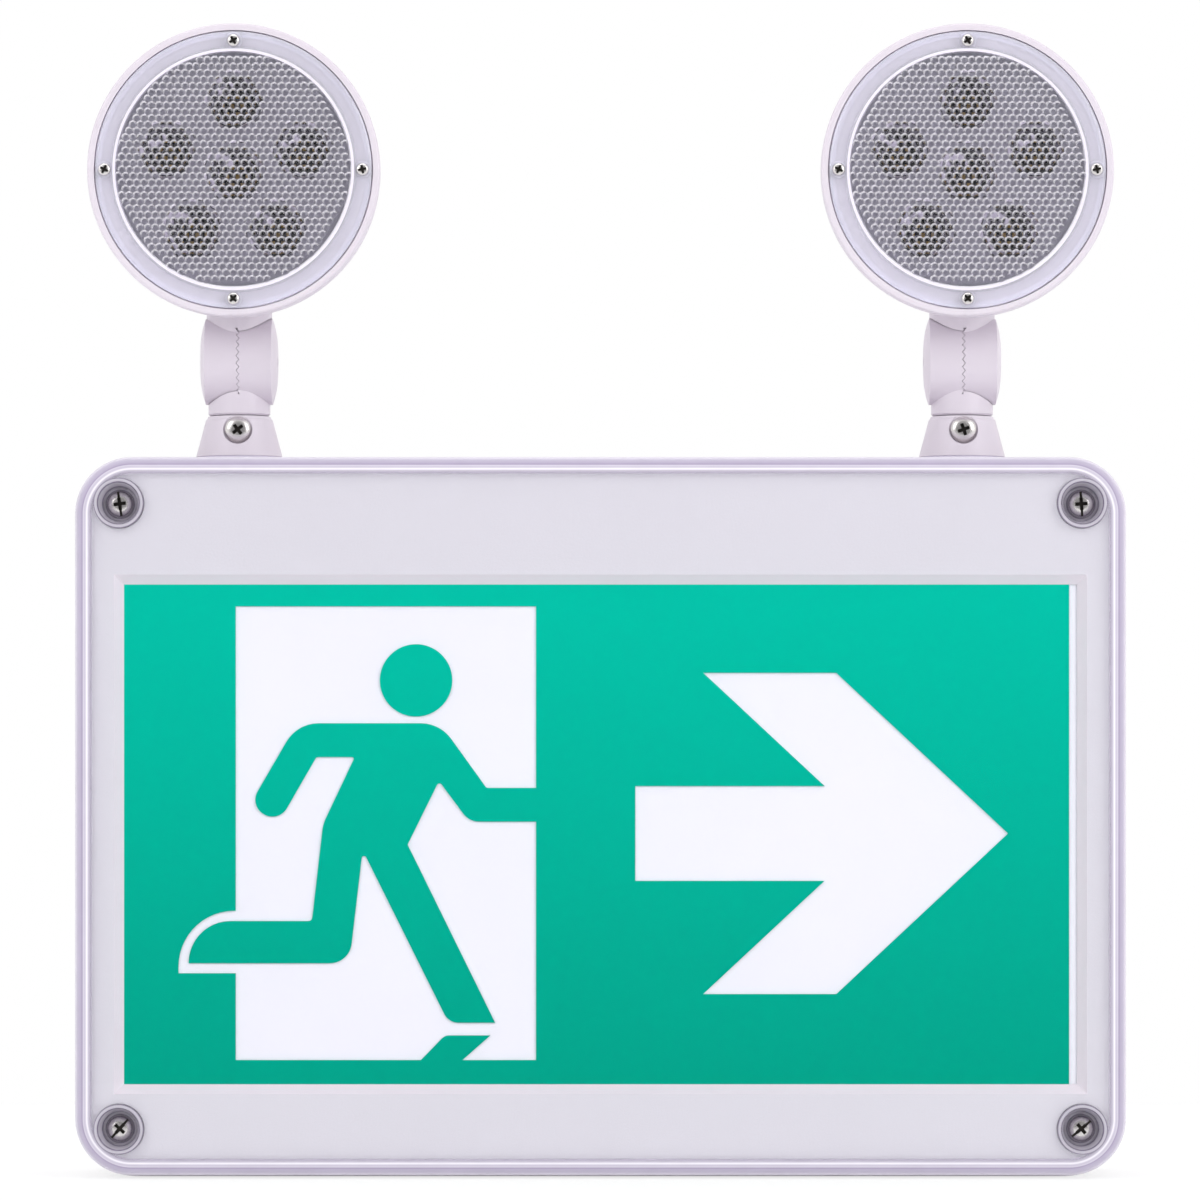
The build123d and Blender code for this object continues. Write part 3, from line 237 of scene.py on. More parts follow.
def moulded_shell(pale, deep):
    """Injection-moulded ABS. Its spark-eroded mould leaves a fine grain, which softens the highlights, and the
    colour drifts a little over a hand's width."""
    made, tree, place = blank("moulded_abs_shell")
    pits = add(tree, NOISE, {"Vector": place, "Scale": 1 / (0.55 * MM), "Detail": 3.0, "Roughness": 0.6})
    values = {
        "Base Color": drifting(tree, place, 16.0, pale, deep),
        "Roughness": add(tree, REMAP, [pits, 0, 1, 0.39, 0.49]),
        "IOR": 1.54,
        "Specular IOR Level": 0.45,
        "Normal": add(tree, BUMP, {"Height": pits, "Distance": 0.02 * MM}),
    }
    return ended(made, values)


def clear_plastic(name, tint, ior, clarity=1.0):
    """Clear moulded plastic, polycarbonate or acrylic. The polished mould leaves it glossy, with a haze that comes
    and goes a little."""
    made, tree, place = blank(name)
    flow = add(tree, NOISE, {"Vector": place, "Scale": 45.0, "Detail": 1.0})
    haze = add(tree, REMAP, [flow, 0, 1, 0.05, 0.065])
    return ended(made, {"Base Color": tint, "Roughness": haze, "IOR": ior, "Transmission Weight": clarity}, tint)


def prism_plastic():
    """Clear polycarbonate prisms. The top of a prism is clear, and its flanks carry a painted highlight, whiter where
    they face up and to the left, so each prism has a dark middle with a pale painted crescent on its upper left."""
    made, tree, place = blank("clear_polycarbonate_prisms")
    facing = add(tree, SPLIT, [place.node.outputs["Normal"]]).outputs
    flank = add(tree, REMAP, [facing["Y"], -0.93, -0.77])
    lean = add(tree, MATH, [facing["X"], -0.5], operation="MULTIPLY")
    upper = add(tree, MATH, [facing["Z"], lean], operation="ADD")
    # Painted highlight: flanks facing up and to the left are mixed towards white, standing in for light from above.
    painted_light = add(tree, REMAP, [upper, -0.25, 0.55, 0.03, 0.7])
    painted_scatter = add(tree, MATH, [flank, painted_light], operation="MULTIPLY")
    through = add(tree, MATH, [1.0, painted_scatter], operation="SUBTRACT")
    tint = linear("#f7f5fa")
    return ended(made, {"Base Color": tint, "Roughness": 0.03, "IOR": 1.38, "Transmission Weight": through}, tint)


def moulded_optic(head):
    """Clear acrylic optics, with painted highlights: a bright crescent at the upper left, a thinner line round the
    edge and a small bright arc beside the middle. head is the middle of a lens."""
    made, tree, place = blank("clear_acrylic_optic")
    apart = add(tree, SPLIT, [place]).outputs
    side = add(tree, MATH, [apart["X"]], operation="SIGN")
    axis = add(tree, MATH, [side, abs(head.x)], operation="MULTIPLY")
    across = add(tree, MATH, [apart["X"], axis], operation="SUBTRACT")
    up = add(tree, MATH, [apart["Z"], head.z], operation="SUBTRACT")
    flat = add(tree, COMBINE, [across, 0, up])
    turns = [math.pi / 2 + math.tau / 5 * k for k in range(5)]
    axes = [(0.0, 0.0)] + [(OPTIC_RING * math.cos(turn), OPTIC_RING * math.sin(turn)) for turn in turns]

    def nearest(dx, dz):
        """Distance to the nearest of the points that lie dx and dz millimetres from the optics' axes."""
        least = None
        for x, z in axes:
            gap = add(tree, VECTOR, [flat, (x + dx * MM, 0, z + dz * MM)], operation="DISTANCE")
            least = gap if least is None else add(tree, MATH, [gap, least], operation="MINIMUM")
        return least

    # Painted highlights: a white line round each optic's edge, stronger at its upper left, and a small white arc
    # beside its middle.
    edge = add(tree, REMAP, [nearest(0, 0), 8.35 * MM, 8.65 * MM])
    painted_light = add(tree, REMAP, [nearest(1.8, -1.8), 8.6 * MM, 9.8 * MM, 0.25, 1.0])
    crescent = add(tree, MATH, [edge, painted_light], operation="MULTIPLY")
    ring = add(tree, MATH, [nearest(-3.6, 3.2), 2.1 * MM], operation="SUBTRACT")
    off = add(tree, MATH, [ring], operation="ABSOLUTE")
    arc = add(tree, REMAP, [off, 0.2 * MM, 0.5 * MM, 1.0, 0.0])
    bright = add(tree, MATH, [crescent, arc], operation="MAXIMUM")
    through = add(tree, MATH, [1.0, bright], operation="SUBTRACT")
    tint = linear("#f4f6fb")
    tone = add(tree, MIX, {0: bright, 6: tint, 7: WHITE}, data_type="RGBA")
    return ended(made, {"Base Color": tone, "Roughness": 0.0, "IOR": 1.49, "Transmission Weight": through}, tint)


# How light the painted tones of the clouded plastic are, from 0 for the deep lavender of a painted shade line to 1
# for a painted highlight on an edge. The cover's rim is given by millimetres in from its outline, and a screw well by
# millimetres from its axis. The lines are painted where the inner faces of the walls meet the front plate, standing
# in for light and shade bent through the walls.
RIM_PAINTED_LINES = (
    (0.0, 0.75), (0.6, 0.6), (1.1, 0.33), (2.2, 0.2), (2.5, 0.0), (2.8, 0.62),
    (3.3, 0.4), (3.6, 0.55), (3.9, 1.0), (4.15, 0.9), (4.4, 0.5), (6.0, 0.6),
)
WELL_PAINTED_RINGS = (
    (0.0, 0.7), (4.5, 0.7), (4.7, 0.1), (4.9, 0.9), (5.5, 0.9), (5.7, 0.0), (6.0, 0.75),
    (6.7, 0.8), (6.95, 0.0), (7.3, 0.6), (7.9, 0.7), (8.15, 0.0), (8.4, 0.9),
)


def moulded_cover(low, high):
    """Clear polycarbonate cover. Its front plate is polished. Where the walls and the screw wells stand behind the
    plate, the front is made to cloud to a pale lavender, with painted tones and thin painted lines of shade and
    highlight round the sign and the wells, standing in for light bent through the thick plastic."""
    made, tree, place = blank("clear_polycarbonate_cover")
    folded = add(tree, VECTOR, [place], operation="ABSOLUTE")
    flat = add(tree, VECTOR, [folded, (1, 0, 1)], operation="MULTIPLY")
    hub = (high[0] - COVER_CORNER, 0, high[2] - COVER_CORNER)
    past = add(tree, VECTOR, [flat, hub], operation="SUBTRACT")
    beyond = add(tree, VECTOR, [past, (0, 0, 0)], operation="MAXIMUM")
    reach = add(tree, VECTOR, [beyond], operation="LENGTH")
    inset = add(tree, MATH, [COVER_CORNER, reach], operation="SUBTRACT")
    from_well = add(tree, VECTOR, [flat, WELL_AXIS], operation="DISTANCE")
    tones = []
    for value, stops, deep, bright in (
        (inset, RIM_PAINTED_LINES, "#a79bb8", "#f8f5fb"),
        (from_well, WELL_PAINTED_RINGS, "#857b93", "#ece8f1"),
    ):
        span = stops[-1][0]
        ramp = add(tree, "ShaderNodeValToRGB", [add(tree, REMAP, [value, 0, span * MM])])
        for reached, _ in stops[1:-1]:
            ramp.color_ramp.elements.new(reached / span)
        for mark, (_, shade) in zip(ramp.color_ramp.elements, stops):
            mark.color = (shade, shade, shade, 1.0)
        # Painted shade and highlight: the deep tone paints the shade lines and the bright tone the highlights.
        tones.append(add(tree, MIX, {0: ramp, 6: linear(deep), 7: linear(bright)}, data_type="RGBA"))
    over_wall = add(tree, REMAP, [inset, 4.2 * MM, 5.8 * MM, 0.86, 0.0])
    over_well = add(tree, REMAP, [from_well, 8.15 * MM, 8.4 * MM, 0.8, 0.0])
    depth = add(tree, SPLIT, [place]).outputs["Y"]
    behind = add(tree, REMAP, [depth, low[1] + 3.1 * MM, low[1] + 3.6 * MM, 0, 0.6])
    streaks = add(tree, NOISE, {"Vector": place, "Scale": 90.0, "Detail": 2.0})
    cloud = add(tree, REMAP, [streaks, 0, 1, 0.9, 1.0])
    most = add(tree, MATH, [over_wall, over_well], operation="MAXIMUM")
    thick = add(tree, MATH, [most, behind], operation="MAXIMUM")
    painted_scatter = add(tree, MATH, [thick, cloud], operation="MULTIPLY")
    through = add(tree, MATH, [1.0, painted_scatter], operation="SUBTRACT")
    near_well = add(tree, MATH, [over_well, 0.01], operation="GREATER_THAN")
    rim = add(tree, MIX, {0: near_well, 6: tones[0], 7: tones[1]}, data_type="RGBA")
    clouded = add(tree, MATH, [painted_scatter, 4.0], operation="MULTIPLY", use_clamp=True)
    tint = linear("#fcfbfe")
    tone = add(tree, MIX, {0: clouded, 6: tint, 7: rim}, data_type="RGBA")
    return ended(made, {"Base Color": tone, "Roughness": 0.0, "IOR": 1.2, "Transmission Weight": through}, tint)


def moulded_panel(pale, deep):
    """Face panel of injection-moulded ABS with an orange-peel grain. The bevel round its window comes off a polished
    part of the mould, so it is smooth; its colour is painted a little paler, painted light that lifts the shade on a
    face turned from the lamps."""
    made, tree, place = blank("orange_peel_abs_panel")
    centred = add(tree, VECTOR, [place, (0, 0, WINDOW_DROP)], operation="ADD")
    sides = add(tree, SPLIT, [add(tree, VECTOR, [centred], operation="ABSOLUTE")]).outputs
    within = add(tree, MATH, [sides["X"], BEVEL_X], operation="LESS_THAN")
    between = add(tree, MATH, [sides["Z"], BEVEL_Z], operation="LESS_THAN")
    bevel = add(tree, MATH, [within, between], operation="MULTIPLY")
    tone = drifting(tree, place, 16.0, pale, deep)
    pits = add(tree, NOISE, {"Vector": place, "Scale": 1 / (0.9 * MM), "Detail": 3.0, "Roughness": 0.6})
    relief = add(tree, REMAP, [bevel, 0, 1, 1.0, 0.1])
    values = {
        # Painted light: the bevel gets a paler colour to lift the shade it lies in.
        "Base Color": add(tree, MIX, {0: bevel, 6: tone, 7: linear("#e6dfe4")}, data_type="RGBA"),
        "Roughness": 0.5,
        "IOR": 1.54,
        "Specular IOR Level": 0.35,
        "Normal": add(tree, BUMP, {"Height": pits, "Distance": 0.06 * MM, "Strength": relief}),
    }
    return ended(made, values)


def printed_film(colours):
    """Sign film, screen-printed in green on polyester. The printed layer has a fine tooth. Its green is painted a
    little paler towards the upper edge: painted light, standing in for the sign's LEDs that light it from there."""
    made, tree, place = blank("printed_sign_film")
    low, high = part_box("legend_film")
    height = add(tree, SPLIT, [place]).outputs["Z"]
    # Painted light: the green is mixed paler towards the top by height.
    rise = add(tree, REMAP, [height, low[2], high[2]])
    foot, top = tuple(colours.sign_foot), tuple(colours.sign_top)
    ink_and_painted_glow = add(tree, MIX, {0: rise, 6: foot, 7: top}, data_type="RGBA")
    tooth = add(tree, NOISE, {"Vector": place, "Scale": 1 / (0.7 * MM), "Detail": 2.0})
    shade = add(tree, REMAP, [tooth, 0, 1, 0.93, 1.07])
    values = {
        "Base Color": add(tree, "ShaderNodeHueSaturation", {"Color": ink_and_painted_glow, "Value": shade}),
        "Roughness": 0.6,
        "IOR": 1.5,
        "Specular IOR Level": 0.0,
        "Normal": add(tree, BUMP, {"Height": tooth, "Distance": 0.01 * MM, "Strength": 0.5}),
    }
    return ended(made, values)


def opal_acrylic():
    """Opal acrylic sheet. Its filler scatters light, so it is an even cool white. A faint emission, a painted glow,
    makes it brighter than the panel.
    """
    made, tree, place = blank("opal_acrylic")
    values = {
        "Base Color": drifting(tree, place, 22.0, linear("#eaebef"), linear("#e6e7ec")),
        "Roughness": 0.4,
        "IOR": 1.49,
        "Specular IOR Level": 0.2,
        # Painted glow: a faint emission, not a lamp.
        "Emission Color": linear("#f8f9ff"),
        "Emission Strength": 0.03,
    }
    return ended(made, values)


def grained(name, pale, deep, roughness, grain, relief, detail=3.0, rougher=0.06, strength=1.0, **values):
    """Two tones of one colour with a grain of its own size, which also moves its gloss and its surface."""
    made, tree, place = blank(name)
    grains = add(tree, NOISE, {"Vector": place, "Scale": 1 / (grain * MM), "Detail": detail})
    values["Base Color"] = add(tree, MIX, {0: grains, 6: linear(pale), 7: linear(deep)}, data_type="RGBA")
    values["Roughness"] = add(tree, REMAP, [grains, 0, 1, roughness - 0.06, roughness + rougher])
    values["Normal"] = add(tree, BUMP, {"Height": grains, "Distance": relief * MM, "Strength": strength})
    return ended(made, values)


def metal(name, pale, deep, roughness, grit):
    """Bare or plated metal with the fine marks of its making, which break up its reflections."""
    return grained(name, pale, deep, roughness, grit, 0.006, 4.0, 0.08, 0.6, Metallic=1.0)


def coated(name, pale, deep, roughness, grain, relief):
    """Rubber, wrap, lacquer or moulded plastic with an even grain."""
    return grained(name, pale, deep, roughness, grain, relief, IOR=1.5)


def laminated_core():
    """Varnished steel laminations of a transformer, stacked 0.5 mm thick, so fine lines run round the core."""
    made, tree, place = blank("laminated_core")
    lines = {"Vector": place, "Scale": 1 / (3.0 * MM), "Distortion": 0.4}
    stack = add(tree, "ShaderNodeTexWave", lines, bands_direction="Y").outputs["Fac"]
    tone = add(tree, MIX, {0: stack, 6: linear("#4b4744"), 7: linear("#6d6863")}, data_type="RGBA")
    return ended(made, {"Base Color": tone, "Metallic": 0.6, "Roughness": 0.5})


def finishes(colours, tint):
    """Every finish by its own name."""
    shell, panel = tuple(colours.shell), tuple(colours.panel)
    shell_deep = tuple(c * 0.94 for c in shell[:3]) + (1.0,)
    panel_deep = tuple(c * 0.96 for c in panel[:3]) + (1.0,)
    return {
        "shell": moulded_shell(shell, shell_deep),
        "panel": moulded_panel(panel, panel_deep),
        "cover": moulded_cover(*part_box("clear_cover")),
        "flange": clear_plastic("clear_polycarbonate_flange", tuple(tint), 1.45, 0.7),
        "prism": prism_plastic(),
        "lip": coated("frosted_polycarbonate_lip", "#eae5f1", "#ded8e8", 0.35, 0.5, 0.0),
        "optic": moulded_optic(middle("right_lens")),
        "film": printed_film(colours),
        "opal": opal_acrylic(),
        "steel": metal("nickel_plated_steel", "#e8e5e4", "#d2cecd", 0.24, 0.25),
        # Painted shade: the screws' recesses get a dark steel, standing in for the shade inside them.
        "recess": metal("recess_steel_painted_shade", "#4a4744", "#35322f", 0.45, 0.2),
        "brass": metal("turned_brass", "#cfae6a", "#b89452", 0.3, 0.3),
        "rail": metal("mill_finish_aluminium", "#cdced1", "#bcbdc1", 0.38, 0.5),
        "plate": metal("satin_reflector_plate", "#dee2e0", "#cccfcf", 0.42, 0.6),
        "gasket": coated("silicone_gasket", "#eeeaf6", "#e2ddee", 0.6, 0.8, 0.02),
        "seal": coated("translucent_nylon_washer", "#c9c5d1", "#b9b4c3", 0.45, 0.6, 0.01),
        "foam": coated("closed_cell_gasket_foam", "#3c3b3f", "#2d2c30", 0.9, 0.6, 0.12),
        "board": coated("lacquered_glass_fibre_board", "#1d6b3e", "#175a33", 0.35, 1.2, 0.01),
        "black_board": coated("black_lacquered_lamp_board", "#1c1d22", "#131419", 0.35, 1.2, 0.01),
        "phosphor": coated("led_phosphor", "#f0c544", "#dfae2c", 0.5, 0.4, 0.03),
        "wrap": coated("battery_shrink_wrap", "#2a5aa0", "#214a88", 0.32, 2.4, 0.03),
        "black": coated("black_moulded_nylon", "#232326", "#18181b", 0.5, 0.5, 0.03),
        "core": laminated_core(),
        "red": coated("red_moulded_button", "#c5221f", "#ad1b19", 0.3, 0.5, 0.01),
        "pilot": clear_plastic("red_tinted_pilot_lens", linear("#d8201c"), 1.49),
    }


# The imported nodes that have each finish, by name without their side.
FINISH_NODES = {
    "shell": "rear_housing collar collar_nut base_arm head_shell",
    "panel": "face_panel",
    "cover": "clear_cover",
    "flange": "lens",
    "optic": "optics",
    "film": "legend_film",
    "opal": "legend_diffuser",
    "steel": "cover_screws inner_screws test_switch_nut lock_screw stem_clip knuckle_screw lens_screws",
    "brass": "knuckle_insert",
    "rail": "led_rails battery_strap",
    "plate": "reflector_plate",
    "gasket": "housing_gasket collar_gasket lens_gasket",
    "seal": "cover_screw_seals",
    "foam": "wall_gasket",
    "board": "sign_led_boards charger_board",
    "black_board": "lamp_board",
    "phosphor": "sign_leds lamp_leds",
    "wrap": "battery_pack",
    "black": "terminal_block board_parts test_switch",
    "core": "transformer",
    "red": "test_button",
    "pilot": "pilot_light",
}
MADE = {}


def finish_of(key):
    """The finish of that name, made once."""
    if not MADE:
        own = bpy.context.scene
        MADE.update(finishes(own.exit_colours, own.exit_lens.tint))
    return MADE[key]


# ---- geometry nodes ----


def new_tree(name, **inputs):
    """A geometry tree with a geometry input and output, and with the inputs named under each socket type."""
    tree = bpy.data.node_groups.new(name, "GeometryNodeTree")
    sockets = [("Geometry", "Geometry")]
    sockets += [(label, kind) for kind, labels in inputs.items() for label in labels.split(", ")]
    for label, kind in sockets:
        tree.interface.new_socket(label, in_out="INPUT", socket_type="NodeSocket" + kind)
    tree.interface.new_socket("Geometry", in_out="OUTPUT", socket_type="NodeSocketGeometry")
    return tree, add(tree, "NodeGroupInput").outputs


def close_tree(tree, geometry, material, keep=None, where=True):
    """Ends a tree: real geometry, its material where that is wanted, then what is kept as it came in."""
    real = add(tree, "GeometryNodeRealizeInstances", [geometry])
    result = add(tree, SET_MATERIAL, [real, where, material])
    if keep is not None:
        result = add(tree, JOIN, [[result, keep]])
    add(tree, "NodeGroupOutput", [result])


def smooth_within(tree, geometry, angle):
    """Smooth faces, with the edges sharper than the angle kept crisp."""
    bend = add(tree, "GeometryNodeInputMeshEdgeAngle")
    sharp = add(tree, COMPARE, [bend, angle], operation="GREATER_THAN")
    smooth = add(tree, "GeometryNodeSetShadeSmooth", [geometry, True, True], domain="FACE")
    return add(tree, "GeometryNodeSetShadeSmooth", [smooth, sharp, False], domain="EDGE")


def screw_tree():
    """Screws with a crowned head and a crossed recess, one on each point of the mesh. A slot wider than nothing
    crosses the whole head."""
    tree, given = new_tree(
        "driven_screws",
        Float="Head radius, Head height, Shank radius, Shank length, Cross length, Cross width, Recess depth, "
        "Slot width",
        Vector="Facing",
        Material="Material, Recess material",
    )
    radius, height, shank_length = given["Head radius"], given["Head height"], given["Shank length"]
    long_way, short_way, slot_width = given["Cross length"], given["Cross width"], given["Slot width"]
    cone = {"Vertices": 40, "Side Segments": 7, "Radius Top": 0.0, "Radius Bottom": radius, "Depth": height}
    # The cone's rings move out and up onto a rounded crown: share is 0 at the seat and 1 at the top.
    at = add(tree, SPLIT, [add(tree, POSITION)]).outputs
    share = add(tree, MATH, [at["Z"], height], operation="DIVIDE")
    angle = add(tree, MATH, [share, math.pi / 2], operation="MULTIPLY")
    cosine = add(tree, MATH, [angle], operation="COSINE")
    inward = add(tree, MATH, [cosine, 0.0], operation="MAXIMUM")
    wide = add(tree, MATH, [inward, 0.62], operation="POWER")
    sine = add(tree, MATH, [angle], operation="SINE")
    high = add(tree, MATH, [sine, 0.8], operation="POWER")
    left = add(tree, MATH, [1.0, share], operation="SUBTRACT")
    safe = add(tree, MATH, [left, 0.001], operation="MAXIMUM")
    grow = add(tree, MATH, [wide, safe], operation="DIVIDE")
    x, y, z = (
        add(tree, MATH, pair, operation="MULTIPLY")
        for pair in ([at["X"], grow], [at["Y"], grow], [high, height])
    )
    crown = add(tree, PUT, {0: add(tree, CONE, cone), "Position": add(tree, COMBINE, [x, y, z])})
    # Recess: two crossed bars, and a thin slot over the whole head where its width isn't nothing.
    over_head = add(tree, MATH, [radius, 2.4], operation="MULTIPLY")
    deep = add(tree, MATH, [given["Recess depth"], 2.0], operation="MULTIPLY")
    shallow = add(tree, MATH, [deep, 0.55], operation="MULTIPLY")
    bars = [
        add(tree, "GeometryNodeMeshCube", [add(tree, COMBINE, sizes)])
        for sizes in ([long_way, short_way, deep], [short_way, long_way, deep], [slot_width, over_head, shallow])
    ]
    slotted = add(tree, COMPARE, [slot_width, 0.0], operation="GREATER_THAN")
    bars[2] = add(tree, "GeometryNodeSwitch", {"Switch": slotted, "True": bars[2]}, input_type="GEOMETRY")
    lift = add(tree, COMBINE, {2: height})
    cutters = [
        add(tree, TRANSFORM, [add(tree, SET_MATERIAL, [bar, True, given["Recess material"]]), lift]) for bar in bars
    ]
    head = add(tree, "GeometryNodeMeshBoolean", [crown, cutters], operation="DIFFERENCE", solver="EXACT")
    rod = {"Vertices": 20, "Radius": given["Shank radius"], "Depth": shank_length}
    half = add(tree, MATH, [shank_length, -0.5], operation="MULTIPLY")
    sunk = add(tree, MATH, [half, 0.1 * MM], operation="ADD")
    shank = add(tree, TRANSFORM, [add(tree, "GeometryNodeMeshCylinder", rod), add(tree, COMBINE, {2: sunk})])
    shaded = smooth_within(tree, add(tree, JOIN, [[head, shank]]), math.radians(32))
    # Each screw points the way it faces, then turns about itself.
    aim = add(tree, "FunctionNodeAlignRotationToVector", {"Vector": given["Facing"]}, axis="Z")
    own = add(tree, "GeometryNodeInputNamedAttribute", {"Name": "turn"}, data_type="FLOAT")
    twist = add(tree, "FunctionNodeAxisAngleToRotation", [(0, 0, 1), own])
    turned = add(tree, "FunctionNodeRotateRotation", [aim, twist], rotation_space="LOCAL")
    placed = add(tree, INSTANCES, {"Points": given["Geometry"], "Instance": shaded, "Rotation": turned})
    recess = add(tree, "GeometryNodeMaterialSelection", [given["Recess material"]])
    bright = add(tree, "FunctionNodeBooleanMath", [recess], operation="NOT")
    close_tree(tree, placed, given["Material"], where=bright)
    return tree


def prism_tree():
    """A round field of close-packed domed prisms on the front of a lens, joined to the lens that comes in. It is
    laid out flat with the lens axis up, and then stood up to face the front at the lens's middle."""
    tree, given = new_tree(
        "prism_field",
        Float="Pitch, Row spacing, Prism height, Field radius",
        Int="Sides",
        Vector="Middle",
        Material="Material",
    )
    pitch, row, height = given["Pitch"], given["Row spacing"], given["Prism height"]
    columns, rows = 35, 39
    span_x = add(tree, MATH, [pitch, columns - 1], operation="MULTIPLY")
    span_y = add(tree, MATH, [row, rows - 1], operation="MULTIPLY")
    grid = add(tree, GRID, [span_x, span_y, columns, rows])
    at = add(tree, POSITION)
    apart = add(tree, SPLIT, [at]).outputs
    # Every other row is shifted by half a pitch.
    line = add(tree, MATH, [apart["Y"], row], operation="DIVIDE")
    whole = add(tree, MATH, [line, 0.25], operation="ADD")
    lower = add(tree, MATH, [whole], operation="FLOOR")
    odd = add(tree, MATH, [lower, 2.0], operation="FLOORED_MODULO")
    step = add(tree, MATH, [pitch, 0.5], operation="MULTIPLY")
    shift = add(tree, MATH, [odd, step], operation="MULTIPLY")
    packed = add(tree, PUT, {0: grid, "Offset": add(tree, COMBINE, [shift])})
    reach = add(tree, VECTOR, [at], operation="LENGTH")
    beyond = add(tree, COMPARE, [reach, given["Field radius"]], operation="GREATER_THAN")
    field = add(tree, "GeometryNodeDeleteGeometry", [packed, beyond], domain="POINT")
    # One prism: a cone whose rings rise onto a dome, a little wider than its cell so that neighbours meet.
    foot = add(tree, MATH, [pitch, 0.59], operation="MULTIPLY")
    cone = {"Vertices": given["Sides"], "Side Segments": 3, "Radius Top": 0.0, "Radius Bottom": foot, "Depth": height}
    share = add(tree, MATH, [apart["Z"], height], operation="DIVIDE")
    rest = add(tree, MATH, [1.0, share], operation="SUBTRACT")
    square = add(tree, MATH, [rest, 2.0], operation="POWER")
    rise = add(tree, MATH, [1.0, square], operation="SUBTRACT")
    domed = add(tree, MATH, [rise, height], operation="MULTIPLY")
    spot = add(tree, COMBINE, [apart["X"], apart["Y"], domed])
    dome = add(tree, PUT, {0: add(tree, CONE, cone), "Position": spot})
    shaded = smooth_within(tree, dome, math.radians(70))
    placed = add(tree, INSTANCES, {"Points": field, "Instance": shaded})
    stood = add(tree, TRANSFORM, [placed, given["Middle"], (math.pi / 2, 0, 0)])
    close_tree(tree, stood, given["Material"], keep=given["Geometry"])
    return tree


def teeth_tree():
    """A ring of radial teeth about the x axis, which stands on a toothed face and follows its grooves. Half of each
    tooth's height lies past the face, so that the teeth of two facing rings lock into each other."""
    tree, given = new_tree(
        "toothed_ring",
        Int="Teeth",
        Float="Inner radius, Outer radius, Tooth depth, Clearance, Turn, Facing",
        Vector="Middle",
        Material="Material",
    )
    outer_radius, clearance = given["Outer radius"], given["Clearance"]
    steps = add(tree, MATH, [given["Teeth"], 2.0], operation="MULTIPLY")
    columns = add(tree, MATH, [steps, 1.0], operation="ADD")
    # A grid rolled up into the ring: its length goes round, and its width goes round the ring's section.
    grid = add(tree, GRID, [1.0, 4.0, columns, 5])
    at = add(tree, SPLIT, [add(tree, POSITION)]).outputs
    along = add(tree, MATH, [at["X"], 0.5], operation="ADD")
    scaled = add(tree, MATH, [along, steps], operation="MULTIPLY")
    whole = add(tree, MATH, [scaled], operation="ROUND")
    crest = add(tree, MATH, [whole, 2.0], operation="FLOORED_MODULO")
    # Which rows of the section lie at the outer edge, and which on the side of the other ring.
    shifted = [add(tree, MATH, [at["Y"], 0.5], operation=way) for way in ("ADD", "SUBTRACT")]
    apart = [add(tree, MATH, [value], operation="ABSOLUTE") for value in shifted]
    outer, upper = (add(tree, MATH, [value, 1.0], operation="LESS_THAN") for value in apart)
    radius = add(tree, REMAP, [outer, 0, 1, given["Inner radius"], outer_radius])
    share = add(tree, MATH, [radius, outer_radius], operation="DIVIDE")
    depth = add(tree, MATH, [share, given["Tooth depth"]], operation="MULTIPLY")
    below = add(tree, MATH, [crest, 1.0], operation="SUBTRACT")
    groove = add(tree, MATH, [below, depth], operation="MULTIPLY")
    half = add(tree, MATH, [depth, 0.5], operation="MULTIPLY")
    layer = add(tree, MATH, [half, clearance], operation="SUBTRACT")
    sunk = add(tree, MATH, [clearance, -2.0], operation="MULTIPLY")
    lift = add(tree, REMAP, [upper, 0, 1, sunk, layer])
    height = add(tree, MATH, [groove, lift], operation="ADD")
    turned = add(tree, MATH, [along, math.tau], operation="MULTIPLY")
    angle = add(tree, MATH, [turned, given["Turn"]], operation="ADD")
    across = add(tree, MATH, [angle], operation="SINE")
    up = add(tree, MATH, [angle], operation="COSINE")
    x, y, z = (
        add(tree, MATH, pair, operation="MULTIPLY")
        for pair in ([height, given["Facing"]], [radius, across], [radius, up])
    )
    rolled = add(tree, PUT, {0: grid, "Position": add(tree, COMBINE, [x, y, z])})
    closed = add(tree, "GeometryNodeMergeByDistance", {0: rolled, "Distance": 0.001 * MM})
    backwards = add(tree, COMPARE, [given["Facing"], 0.0], operation="GREATER_THAN")
    outside = add(tree, "GeometryNodeFlipFaces", [closed, backwards])
    shaded = smooth_within(tree, outside, math.radians(20))
    placed = add(tree, TRANSFORM, [shaded, given["Middle"]])
    close_tree(tree, placed, given["Material"])
    return tree


def grown(name, mesh, tree, inputs):
    """An object of that mesh, run once through a tree with these inputs, and left as a plain mesh."""
    piece = bpy.data.objects.new(name, mesh)
    bpy.context.scene.collection.objects.link(piece)
    modifier = piece.modifiers.new(name, "NODES")
    modifier.node_group = tree
    for item in tree.interface.items_tree:
        if item.item_type == "SOCKET" and item.in_out == "INPUT" and item.name in inputs:
            modifier[item.identifier] = inputs[item.name]
    graph = bpy.context.evaluated_depsgraph_get()
    result = bpy.data.meshes.new_from_object(piece.evaluated_get(graph), depsgraph=graph)
    piece.modifiers.remove(modifier)
    piece.data = result
    result.name = name
    if not result.polygons:
        raise RuntimeError(f"{name} came out empty")
    return piece


def points(name, places, turns):
    """A mesh of loose points, each with the turn of its screw in degrees."""
    mesh = bpy.data.meshes.new(name)
    mesh.from_pydata(places, [], [])
    own = mesh.attributes.new("turn", "FLOAT", "POINT")
    own.data.foreach_set("value", [math.radians(turn) for turn in turns])
    return mesh


